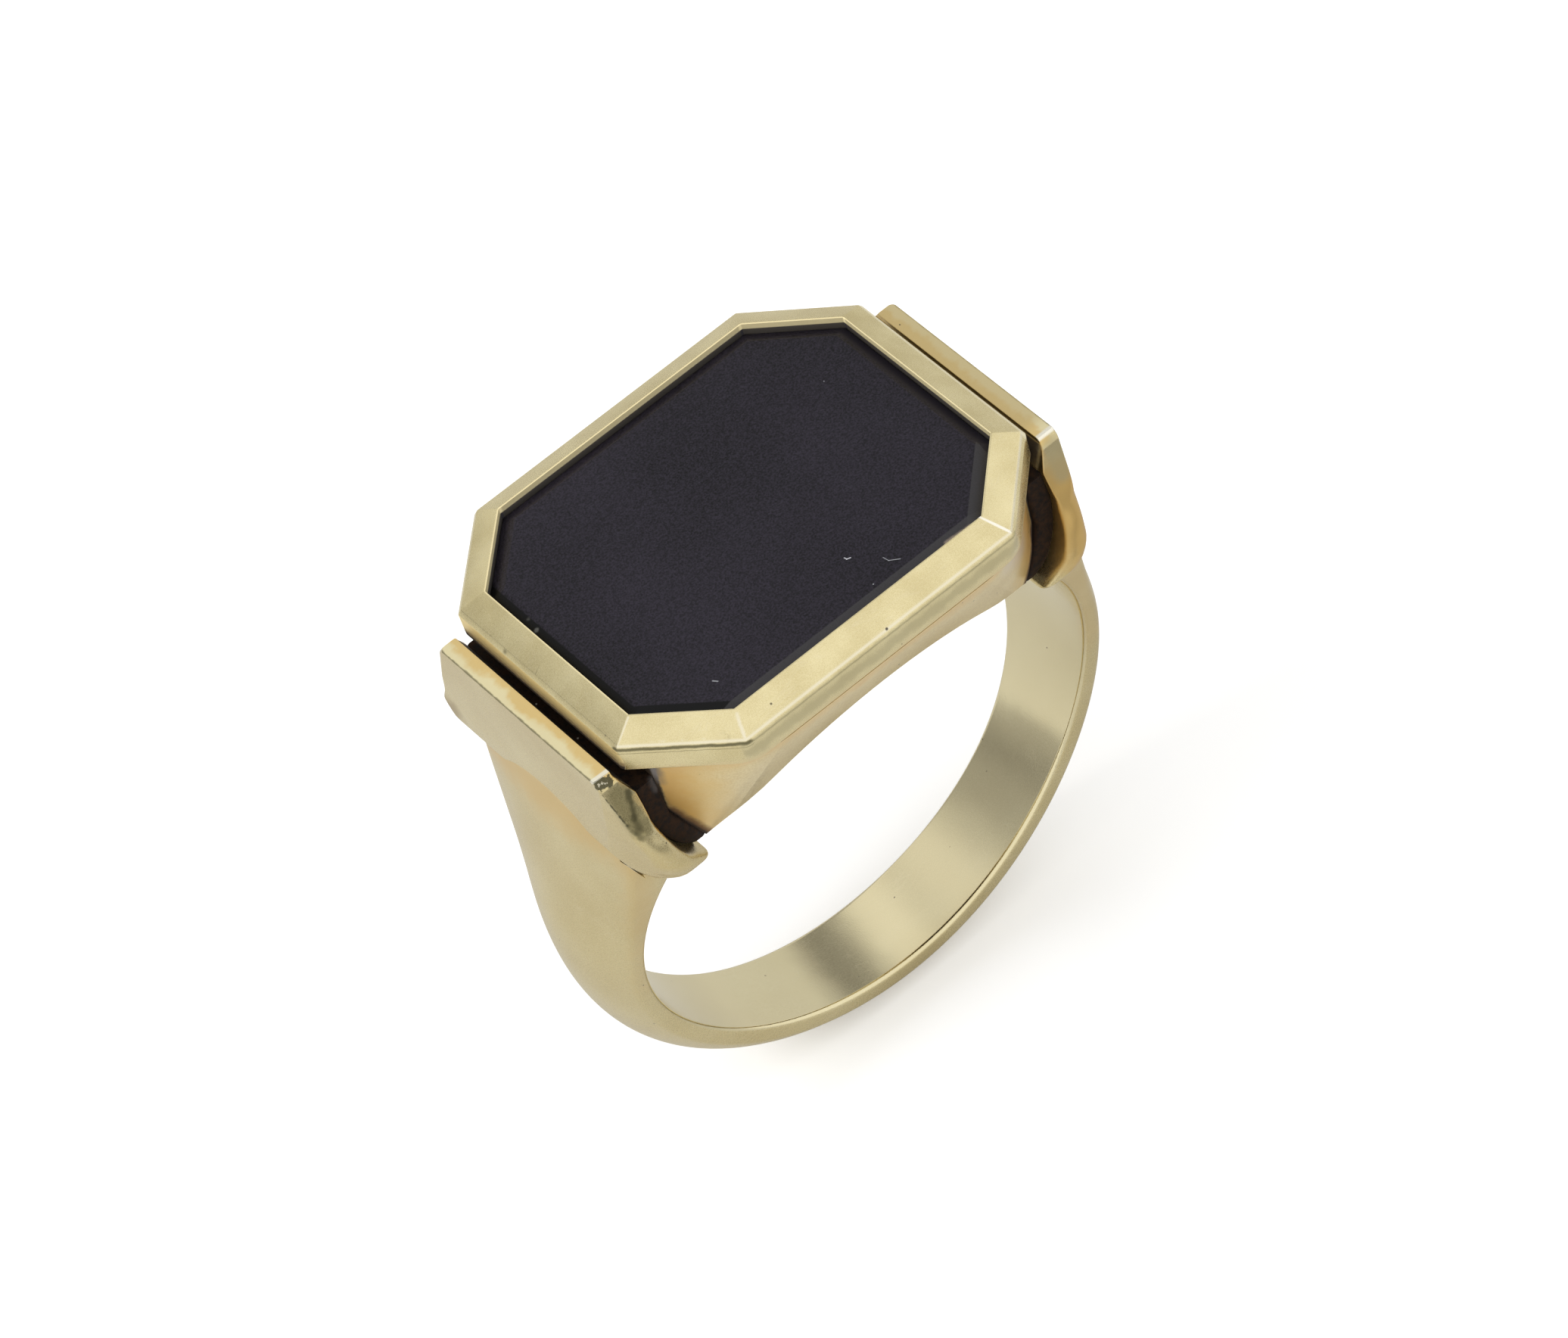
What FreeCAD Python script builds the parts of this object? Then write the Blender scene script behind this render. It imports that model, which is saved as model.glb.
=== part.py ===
import FreeCAD, Part
import math
import os
import re
import Sketcher

# Signet ring, in millimetres. The origin is the centre of the finger hole: +X runs across the
# head to the right flange, +Y along the finger and +Z up to the stone.

# Driving sizes, in millimetres and degrees. Angles with no other note rise from the +X axis.
SIZES = {
    # hoop
    "finger_diameter": 19.5,
    "crown_thickness": 1.53,
    "edge_thickness": 0.63,
    "bottom_width": 3.66,
    "side_width": 5.12,
    "shoulder_width": 8.5,
    "crown_flare_angle": 11.3,
    "edge_flare_angle": 6.9,
    # head
    "head_length": 17.5,
    "head_width": 14.74,
    "head_corner": 3.07,
    "bezel_width": 1.03,
    "bezel_drop": 0.5,
    "bezel_land": 0.06,
    "bezel_edge_break": 0.15,
    "rim_height": 1.6,
    # hollow underbody
    "gallery_depth": 1.85,
    "gallery_end_inset": 0.78,
    "gallery_corner_inset": 0.3,
    "gallery_wall": 0.95,
    "gallery_end_height": 2.6,
    "gallery_foot_angle": 44.4,
    "gallery_side_lean": 24.9,
    "gallery_corner_rounding": 2.0,
    # stone and what it rests on
    "stone_bevel": 0.3,
    "stone_recess": 0.25,
    "stone_clearance": 0.03,
    "cement_thickness": 0.08,
    "bearing_inset": 0.3,
    "bearing_thickness": 0.3,
    "bearing_width": 1.1,
    # flanges
    "slit_width": 0.41,
    "flange_thickness": 0.68,
    "flange_rise": 0.27,
    "flange_top_width": 8.4,
    "flange_corner_run": 0.26,
    "flange_corner_drop": 0.34,
    "flange_waist_width": 10.08,
    "flange_waist_drop": 2.03,
    "flange_foot_width": 11.1,
    "flange_lip_height": 0.15,
    "flange_step_height": 0.9,
    "flange_neck_height": 1.15,
    "flange_bevel_angle": 15.6,
    "flange_bevel_top_overrun": 0.2,
    "flange_bevel_foot_inset": 2.35,
    "foot_corner_radius": 1.15,
    "foot_angle": 42.2,
    "foot_land_angle": 1.6,
    "foot_slope": 21.5,
    "foot_cove_radius": 5.0,
    # solder in the slits
    "bridge_width": 9.2,
    "bridge_clearance": 0.08,
    "bridge_foot_gap": 0.14,
}

# Places that several pieces share, as formulas in the sizes above.
PLACES = {
    "finger_radius": "finger_diameter / 2",
    "rim_bottom": "finger_radius + gallery_depth",
    "ridge": "rim_bottom + rim_height",
    "head_end": "head_length / 2",
    "head_side": "head_width / 2",
    "stone_top": "ridge - stone_recess",
    "stone_bottom": "rim_bottom + cement_thickness",
    "seat": "rim_bottom - bearing_thickness",
    "bearing_outline": "bezel_width + bearing_inset",
    "bearing_opening": "bearing_outline + bearing_width",
    "gallery_end": "head_end - gallery_end_inset",
    "gallery_foot_x": "finger_radius * cos(gallery_foot_angle)",
    "gallery_foot_z": "finger_radius * sin(gallery_foot_angle)",
    "flange_inner": "head_end + slit_width",
    "flange_outer": "flange_inner + flange_thickness",
    "flange_top": "rim_bottom + flange_rise",
    "step_top": "flange_top - flange_lip_height",
    "neck_top": "step_top - flange_step_height",
    "neck_bottom": "neck_top - flange_neck_height",
    "tip_x": "finger_radius * cos(foot_angle)",
    "tip_z": "finger_radius * sin(foot_angle)",
    "heel_x": "finger_radius * cos(foot_angle - foot_land_angle)",
    "heel_z": "finger_radius * sin(foot_angle - foot_land_angle)",
    "foot_outer_z": "heel_z + (flange_outer - heel_x) * tan(foot_slope)",
}

# Directions around the hoop of the sections that it is lofted through, and the heights, as shares
# of the radius, at which its bottom, side and shoulder widths are given.
RIGHT_STATIONS = [47, 38, 28, 17, 6, -8, -24, -42, -65]
STATIONS = RIGHT_STATIONS + [-90] + [-180 - direction for direction in reversed(RIGHT_STATIONS)]
WIDTH_HEIGHTS = (-1.0, 0.0, 0.64)
SECTION_ROOT = 0.5
CUT_MARGIN = 1.0


def formula(text):
    """Returns a formula in plain names as one that reads the sheet's cells."""
    def cell(match):
        name = match.group(0)
        if name in PLACES:
            return f"({formula(PLACES[name])})"
        return f"Sizes.{name}" if name in SIZES else name
    return re.sub(r"[a-z][a-z_]*", cell, text)


def fill_sheet(document):
    """Writes each driving size into the sheet as a plain number with its name."""
    sheet = document.addObject("Spreadsheet::Sheet", "Sizes")
    for row, (name, value) in enumerate(SIZES.items(), start=1):
        sheet.set(f"A{row}", name)
        sheet.set(f"B{row}", str(value))
        sheet.setAlias(f"B{row}", name)
    document.recompute()
    return sheet


def number(text):
    """Returns the value that a formula in plain names has now."""
    return float(DOCUMENT.getObject("Sizes").evalExpression(formula(text).replace("Sizes.", "")))


def new_body(name):
    """Starts a sub-part as a body with its own label."""
    body = DOCUMENT.addObject("PartDesign::Body", name)
    body.Label = name
    return body


def new_sketch(body, name, plane, height="0", turn=0.0):
    """Attaches a sketch to one of the body's own origin planes.

    height lifts it along the plane's normal, and turn, in degrees, swings it about its own
    horizontal axis.
    """
    sketch = body.newObject("Sketcher::SketchObject", name)
    support = next(item for item in body.Origin.OriginFeatures if item.Role == plane)
    sketch.AttachmentSupport = [(support, "")]
    sketch.MapMode = "FlatFace"
    swing = FreeCAD.Rotation(FreeCAD.Vector(1, 0, 0), turn)
    sketch.AttachmentOffset = FreeCAD.Placement(FreeCAD.Vector(0, 0, 0), swing)
    sketch.setExpression("AttachmentOffset.Base.z", formula(height))
    return sketch


def pin(sketch, edge, end, point):
    """Binds one end of an edge to a place given as two formulas."""
    for kind, text in zip(("DistanceX", "DistanceY"), point):
        index = sketch.addConstraint(Sketcher.Constraint(kind, -1, 1, edge, end, number(text)))
        sketch.setExpression(f"Constraints[{index}]", formula(text))


def arc_between(start, end, radius, side):
    """Returns the arc from start to end that bulges to the left (1) or right (-1) of that line.

    It is drawn anticlockwise, so one that bulges to the left starts at end.
    """
    chord = end - start
    outward = FreeCAD.Vector(-chord.y, chord.x, 0).normalize() * side
    centre = (start + end) * 0.5 - outward * math.sqrt(radius ** 2 - chord.Length ** 2 / 4)
    first, last = (end, start) if side > 0 else (start, end)
    angles = [math.atan2(place.y - centre.y, place.x - centre.x) for place in (first, last)]
    return Part.ArcOfCircle(Part.Circle(centre, FreeCAD.Vector(0, 0, 1), radius), *angles)


def outline(sketch, points, arcs=None):
    """Draws a closed outline through points, each a pair of formulas.

    arcs maps the number of a point to the radius formula and the side of the arc that runs from
    it to the next point. The other edges are straight.
    """
    arcs = arcs or {}
    places = [FreeCAD.Vector(number(x), number(y), 0) for x, y in points]
    for index, place in enumerate(places):
        follower = places[(index + 1) % len(places)]
        if index not in arcs:
            edge = sketch.addGeometry(Part.LineSegment(place, follower))
            ends = (1, 2)
        else:
            radius, side = arcs[index]
            edge = sketch.addGeometry(arc_between(place, follower, number(radius), side))
            ends = (2, 1) if side > 0 else (1, 2)
            bound = sketch.addConstraint(Sketcher.Constraint("Radius", edge, number(radius)))
            sketch.setExpression(f"Constraints[{bound}]", formula(radius))
        pin(sketch, edge, ends[0], points[index])
        pin(sketch, edge, ends[1], points[(index + 1) % len(points)])


def circle(sketch, radius):
    """Draws a circle about the sketch's origin."""
    edge = sketch.addGeometry(Part.Circle(FreeCAD.Vector(), FreeCAD.Vector(0, 0, 1), number(radius)))
    sketch.addConstraint(Sketcher.Constraint("Coincident", edge, 3, -1, 1))
    bound = sketch.addConstraint(Sketcher.Constraint("Radius", edge, number(radius)))
    sketch.setExpression(f"Constraints[{bound}]", formula(radius))


def octagon_points(inset):
    """Returns the corners of the head's octagon, drawn in by inset all round.

    The cut corners are at 45 degrees, so each shrinks by inset times 2 - sqrt(2) along a side.
    """
    end = f"(head_end - ({inset}))"
    side = f"(head_side - ({inset}))"
    cut = f"(head_corner - (2 - sqrt(2)) * ({inset}))"
    quarter = [(end, f"{side} - {cut}"), (f"{end} - {cut}", side)]
    corners = list(quarter)
    corners += [(f"-({x})", y) for x, y in reversed(quarter)]
    corners += [(f"-({x})", f"-({y})") for x, y in quarter]
    corners += [(x, f"-({y})") for x, y in reversed(quarter)]
    return corners


def octagon(body, name, height, inset):
    """Draws the head's octagon at a height, drawn in by inset."""
    sketch = new_sketch(body, name, "XY_Plane", height)
    outline(sketch, octagon_points(inset))
    return sketch


def extrude(body, kind, name, sketch, length, symmetric=False, reverse=False):
    """Pads or pockets a sketch by a length."""
    feature = body.newObject(f"PartDesign::{kind}", name)
    feature.Profile = sketch
    feature.Type = "Length"
    feature.setExpression("Length", formula(length))
    feature.SideType = "Symmetric" if symmetric else "One side"
    feature.Reversed = reverse
    sketch.Visibility = False
    return feature


def loft(body, kind, name, sketches):
    """Lofts through sketches in order, adding to the body or cutting it."""
    feature = body.newObject(f"PartDesign::{kind}", name)
    feature.Profile = sketches[0]
    feature.Sections = sketches[1:]
    return feature


def finger_cut(body):
    """Cuts the finger's circle through the body."""
    sketch = new_sketch(body, f"{body.Name}_finger", "XZ_Plane")
    circle(sketch, "finger_radius")
    reach = f"head_width + flange_foot_width + {CUT_MARGIN}"
    extrude(body, "Pocket", f"{body.Name}_finger_cut", sketch, reach, symmetric=True)


def edges_where(shape, test):
    """Returns the names of the edges whose end points, lowest first, pass the test."""
    names = []
    for index, edge in enumerate(shape.Edges, start=1):
        ends = sorted((vertex.Point for vertex in edge.Vertexes), key=lambda point: point.z)
        if test(ends[0], ends[-1]):
            names.append(f"Edge{index}")
    return names


def dress(body, kind, name, test, size):
    """Chamfers or fillets the body's edges so far that pass the test."""
    DOCUMENT.recompute()
    base = body.Tip
    feature = body.newObject(f"PartDesign::{kind}", name)
    feature.Base = (base, edges_where(base.Shape, test))
    feature.setExpression("Size" if kind == "Chamfer" else "Radius", formula(size))
    return feature


def near(value, text):
    """Says whether a coordinate lies at the place that a formula gives."""
    return abs(value - number(text)) < 1e-4


def level_at(height):
    """Returns the test for edges that lie level at a height."""
    return lambda low, high: near(low.z, height) and near(high.z, height)


def section_width(height):
    """Returns the hoop's half width at a height, a parabola through its three given widths."""
    terms = []
    for index, name in enumerate(("bottom_width", "side_width", "shoulder_width")):
        weight = 1.0
        for other, node in enumerate(WIDTH_HEIGHTS):
            if other != index:
                weight *= (height - node) / (WIDTH_HEIGHTS[index] - node)
        terms.append(f"{name} * ({weight:.6f})")
    return f"({' + '.join(terms)}) / 2"


def flared(thickness, flare, direction):
    """Returns the hoop's radius in a direction.

    It is round up to the flare angle on each side, and runs on straight from there.
    """
    rise = direction if direction > -90 else -180 - direction
    return f"(finger_radius + {thickness}) / cos(max(0; {rise} - {flare}))"


def build_shank():
    """Builds the hoop: D sections lofted round the finger, trimmed to the flanges' feet."""
    body = new_body("shank")
    sections = []
    for count, direction in enumerate(STATIONS):
        sketch = new_sketch(body, f"hoop_section_{count}", "YZ_Plane", turn=direction - 90)
        half = section_width(math.sin(math.radians(direction)))
        edge = flared("edge_thickness", "edge_flare_angle", direction)
        crown = flared("crown_thickness", "crown_flare_angle", direction)
        rise = f"({crown} - {edge})"
        bow = f"(({half})^2 + {rise}^2) / (2 * {rise})"
        root = f"finger_radius - {SECTION_ROOT}"
        points = [(f"-({half})", root), (half, root), (half, edge), (f"-({half})", edge)]
        outline(sketch, points, {2: (bow, -1)})
        sections.append(sketch)
    loft(body, "AdditiveLoft", "hoop", sections)
    inside_x = f"heel_x - {CUT_MARGIN}"
    inside_z = f"heel_z - {CUT_MARGIN} * tan(foot_slope)"
    top = f"flange_top + {CUT_MARGIN}"
    seat = [
        (inside_x, inside_z),
        ("flange_outer", "foot_outer_z"),
        ("flange_outer", top),
        ("0", top),
        ("0", inside_z),
    ]
    for side, sign in (("right", ""), ("left", "-")):
        sketch = new_sketch(body, f"{side}_seat", "XZ_Plane")
        outline(sketch, [(f"{sign}({x})", z) for x, z in seat])
        extrude(body, "Pocket", f"{side}_seat_cut", sketch, "shoulder_width * 2", symmetric=True)
    finger_cut(body)
    return body


def build_flange(name, sign):
    """Builds one upright flange: its profile across the head, its outline and its bevel."""
    body = new_body(name)
    profile = new_sketch(body, f"{name}_profile", "XZ_Plane")
    neck_x = "flange_inner - slit_width"
    base_x = f"heel_x - {CUT_MARGIN}"
    base_z = f"heel_z - {CUT_MARGIN} * tan(foot_slope)"
    points = [
        ("flange_outer", "foot_outer_z"),
        ("flange_outer", "flange_top"),
        ("flange_inner", "flange_top"),
        ("flange_inner", "step_top"),
        (neck_x, "neck_top"),
        (neck_x, "neck_bottom"),
        ("tip_x", "tip_z"),
        (base_x, "tip_z"),
        (base_x, base_z),
    ]
    outline(profile, [(f"{sign}({x})", z) for x, z in points], {5: ("foot_cove_radius", -1 if sign else 1)})
    extrude(body, "Pad", f"{name}_blank", profile, "flange_foot_width", symmetric=True)
    for side in ("", "-"):
        cut_side(body, name, side)
    bevel_near_side(body, name, sign)
    finger_cut(body)
    return body


def cut_side(body, name, side):
    """Trims one end of a flange to its outline: a small facet, a slope and a round foot."""
    word = "near" if side else "far"
    sketch = new_sketch(body, f"{name}_{word}_side", "YZ_Plane")
    clear = f"flange_foot_width / 2 + {CUT_MARGIN}"
    above = f"flange_top + {CUT_MARGIN}"
    below = f"heel_z - {CUT_MARGIN}"
    points = [
        ("flange_top_width / 2", above),
        ("flange_top_width / 2", "flange_top"),
        ("flange_top_width / 2 + flange_corner_run", "flange_top - flange_corner_drop"),
        ("flange_waist_width / 2", "flange_top - flange_waist_drop"),
        ("flange_foot_width / 2", "heel_z + foot_corner_radius"),
        ("flange_foot_width / 2 - foot_corner_radius", "heel_z"),
        ("flange_foot_width / 2 - foot_corner_radius", below),
        (clear, below),
        (clear, above),
    ]
    bulge = -1 if side else 1
    outline(sketch, [(f"{side}({y})", z) for y, z in points], {4: ("foot_corner_radius", bulge)})
    extrude(body, "Pocket", f"{name}_{word}_cut", sketch, "head_length * 2", symmetric=True)


def bevel_near_side(body, name, sign):
    """Planes the outer face off towards the near end, more at the foot than at the top."""
    sketches = []
    for level, height, start in (
        ("top", "flange_top", "(flange_top_width / 2 + flange_bevel_top_overrun)"),
        ("foot", f"heel_z - {CUT_MARGIN}", "(flange_foot_width / 2 - flange_bevel_foot_inset)"),
    ):
        sketch = new_sketch(body, f"{name}_bevel_{level}", "XY_Plane", height)
        finish = f"(flange_foot_width / 2 + {CUT_MARGIN})"
        planed = f"flange_outer - ({finish} - {start}) * tan(flange_bevel_angle)"
        clear = f"flange_outer + {CUT_MARGIN}"
        points = [("flange_outer", start), (planed, finish), (clear, finish), (clear, start)]
        outline(sketch, [(f"{sign}({x})", f"-({y})") for x, y in points])
        sketches.append(sketch)
    loft(body, "SubtractiveLoft", f"{name}_bevel", sketches)


def build_gallery():
    """Builds the hollow underbody: leaning sides, ends that clear the feet, and an open back."""
    body = new_body("gallery")
    profile = new_sketch(body, "gallery_profile", "XZ_Plane")
    knee = "rim_bottom - gallery_end_height"
    right = [("gallery_end", "rim_bottom"), ("gallery_end", knee), ("gallery_foot_x", "gallery_foot_z")]
    left = [(f"-({x})", z) for x, z in reversed(right)]
    outline(profile, right + left)
    extrude(body, "Pad", "gallery_blank", profile, "head_width", symmetric=True)
    low = f"(gallery_foot_z - {CUT_MARGIN})"
    for side in ("", "-"):
        word = "near" if side else "far"
        sketch = new_sketch(body, f"gallery_{word}_side", "YZ_Plane")
        lean = f"head_side - (rim_bottom - {low}) * tan(gallery_side_lean)"
        clear = f"head_side + {CUT_MARGIN}"
        points = [("head_side", "rim_bottom"), (lean, low), (clear, low), (clear, "rim_bottom")]
        outline(sketch, [(f"{side}({y})", z) for y, z in points])
        extrude(body, "Pocket", f"gallery_{word}_lean", sketch, "head_length * 2", symmetric=True)
    cut_corners(body)
    dress(body, "Fillet", "gallery_corners", is_corner_edge, "gallery_corner_rounding")
    seat = octagon(body, "bearing_seat", "rim_bottom", "bearing_outline")
    extrude(body, "Pocket", "bearing_seat_cut", seat, "bearing_thickness")
    hollow_top = octagon(body, "hollow_top", "seat", "bearing_opening - gallery_wall / 3")
    lean = "(rim_bottom - gallery_foot_z) * tan(gallery_side_lean)"
    hollow_foot = octagon(body, "hollow_foot", "gallery_foot_z", f"gallery_wall + {lean}")
    loft(body, "SubtractiveLoft", "hollow", [hollow_top, hollow_foot])
    finger_cut(body)
    return body


def is_corner_edge(low, high):
    """Says whether an edge runs down from where a cut corner of the underbody meets a long side."""
    return near(high.z, "rim_bottom") and near(abs(high.y), "head_side") and low.z < high.z - 1


def cut_corners(body):
    """Cuts the four upright corners of the underbody along the head's mitres."""
    reach = f"(head_corner + {CUT_MARGIN})"
    inset = "gallery_corner_inset * sqrt(2)"
    points = [
        (f"head_end + {CUT_MARGIN}", f"head_side - {reach} - {inset}"),
        (f"head_end + {CUT_MARGIN}", f"head_side + {CUT_MARGIN}"),
        (f"head_end - {reach} - {inset}", f"head_side + {CUT_MARGIN}"),
    ]
    for end, along in (("right", ""), ("left", "-")):
        for side, across in (("far", ""), ("near", "-")):
            name = f"gallery_{side}_{end}_corner"
            sketch = new_sketch(body, name, "XY_Plane", "rim_bottom")
            outline(sketch, [(f"{along}({x})", f"{across}({y})") for x, y in points])
            extrude(body, "Pocket", f"{name}_cut", sketch, "finger_diameter")


def build_rim():
    """Builds the octagonal rim: upright sides, the sloping bezel and the window for the stone."""
    body = new_body("bezel_rim")
    wall = octagon(body, "rim_wall", "rim_bottom", "0")
    extrude(body, "Pad", "rim_sides", wall, "rim_height - bezel_drop")
    shoulder = octagon(body, "bezel_shoulder", "ridge - bezel_drop", "0")
    crest = octagon(body, "bezel_crest", "ridge", "bezel_width - bezel_land")
    loft(body, "AdditiveLoft", "bezel", [shoulder, crest])
    window = octagon(body, "window", "ridge", "bezel_width")
    extrude(body, "Pocket", "window_cut", window, "rim_height")
    dress(body, "Chamfer", "edge_break", level_at("ridge - bezel_drop"), "bezel_edge_break")
    return body


def build_bearing():
    """Builds the ledge inside the head that the stone rests on."""
    body = new_body("stone_bearing")
    outer = octagon(body, "bearing_outer", "seat", "bearing_outline")
    extrude(body, "Pad", "bearing_blank", outer, "bearing_thickness")
    inner = octagon(body, "bearing_inner", "rim_bottom", "bearing_opening")
    extrude(body, "Pocket", "bearing_window", inner, "bearing_thickness")
    return body


def build_cement():
    """Builds the thin bed of cement between the ledge and the stone."""
    body = new_body("stone_cement")
    outer = octagon(body, "cement_outer", "rim_bottom", "bezel_width + stone_clearance")
    extrude(body, "Pad", "cement_blank", outer, "cement_thickness")
    inner = octagon(body, "cement_inner", "stone_bottom", "bearing_opening")
    extrude(body, "Pocket", "cement_window", inner, "cement_thickness")
    return body


def build_stone():
    """Builds the octagonal tablet with its thin chamfer."""
    body = new_body("onyx_stone")
    girdle = octagon(body, "stone_outline", "stone_bottom", "bezel_width + stone_clearance")
    extrude(body, "Pad", "stone_blank", girdle, "stone_top - (stone_bottom)")
    dress(body, "Chamfer", "stone_edge", level_at("stone_top"), "stone_bevel")
    return body


def build_bridge(name, sign):
    """Builds the solder that fills the foot of a slit, down to just above the finger hole.

    It runs along the underbody's sloping end and stays a little clear of the flange's cove.
    """
    body = new_body(name)
    profile = new_sketch(body, f"{name}_profile", "XZ_Plane")
    top = "neck_top - bridge_clearance"
    knee = "rim_bottom - gallery_end_height"
    foot = "gallery_foot_z + bridge_foot_gap"
    end_slope = f"(gallery_end - gallery_foot_x) / ({knee} - gallery_foot_z)"
    cove_slope = "(head_end - tip_x) / (neck_bottom - tip_z)"
    points = [
        ("gallery_end", top),
        ("gallery_end", knee),
        (f"gallery_foot_x + bridge_foot_gap * {end_slope}", foot),
        (f"tip_x + ({foot} - tip_z) * {cove_slope} - bridge_clearance", foot),
        ("head_end", "neck_bottom + bridge_clearance"),
        ("head_end", top),
    ]
    outline(profile, [(f"{sign}({x})", z) for x, z in points])
    extrude(body, "Pad", f"{name}_block", profile, "bridge_width", symmetric=True)
    return body


def check(bodies):
    """Stops where any object failed or any piece is not one sound solid."""
    failed = [item.Name for item in DOCUMENT.Objects if {"Invalid", "Error"} & set(item.State)]
    if failed:
        raise RuntimeError(f"failed objects: {failed}")
    for body in bodies:
        if body.Shape.isNull() or not body.Shape.isValid() or len(body.Shape.Solids) != 1:
            raise RuntimeError(f"{body.Label} is not one sound solid")


DOCUMENT = FreeCAD.newDocument("signet_ring")
fill_sheet(DOCUMENT)
BODIES = [
    build_shank(),
    build_flange("left_shoulder_flange", "-"),
    build_flange("right_shoulder_flange", ""),
    build_gallery(),
    build_rim(),
    build_bearing(),
    build_cement(),
    build_stone(),
    build_bridge("left_head_bridge", "-"),
    build_bridge("right_head_bridge", ""),
]
DOCUMENT.recompute()
check(BODIES)
os.makedirs("parts", exist_ok=True)
for piece in BODIES:
    piece.Shape.exportStep(f"parts/{piece.Label}.step")
    print(f"{piece.Label}: {piece.Shape.Volume:.2f} mm3")
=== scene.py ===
"""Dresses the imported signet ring, then sets its floor, studio light and camera."""
import logging
import math
from dataclasses import dataclass, replace
from enum import Enum
from typing import Optional, Sequence

import bmesh
import bpy
from mathutils import Matrix, Vector

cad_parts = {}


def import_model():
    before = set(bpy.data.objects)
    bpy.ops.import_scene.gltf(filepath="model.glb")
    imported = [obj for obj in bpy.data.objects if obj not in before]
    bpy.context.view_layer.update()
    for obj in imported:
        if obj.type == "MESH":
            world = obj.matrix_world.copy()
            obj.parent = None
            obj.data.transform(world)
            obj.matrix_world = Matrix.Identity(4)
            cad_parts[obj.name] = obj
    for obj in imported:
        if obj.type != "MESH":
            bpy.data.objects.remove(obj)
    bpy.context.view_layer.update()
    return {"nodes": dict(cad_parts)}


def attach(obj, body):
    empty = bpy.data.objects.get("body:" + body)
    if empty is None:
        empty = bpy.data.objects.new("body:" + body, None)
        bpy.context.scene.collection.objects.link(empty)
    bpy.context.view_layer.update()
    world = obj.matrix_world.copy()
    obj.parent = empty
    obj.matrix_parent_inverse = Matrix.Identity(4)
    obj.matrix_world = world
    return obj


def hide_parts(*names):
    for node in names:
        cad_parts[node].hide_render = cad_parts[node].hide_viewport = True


LOG = logging.getLogger("signet_ring")
MM = 0.001
Point = tuple[float, float]
Place = tuple[float, float, float]
Colour = tuple[float, float, float, float]
Socket = bpy.types.NodeSocket


class Slot(Enum):
    """Material slots of the record."""

    SHANK = "gold_shank"
    FLANGE = "gold_flange"
    GALLERY = "gold_gallery"
    BEZEL = "gold_bezel"
    ONYX = "onyx"
    CEMENT = "cement"
    SOLDER = "solder"


# ---------------------------------------------------------------- shader graphs


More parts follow.
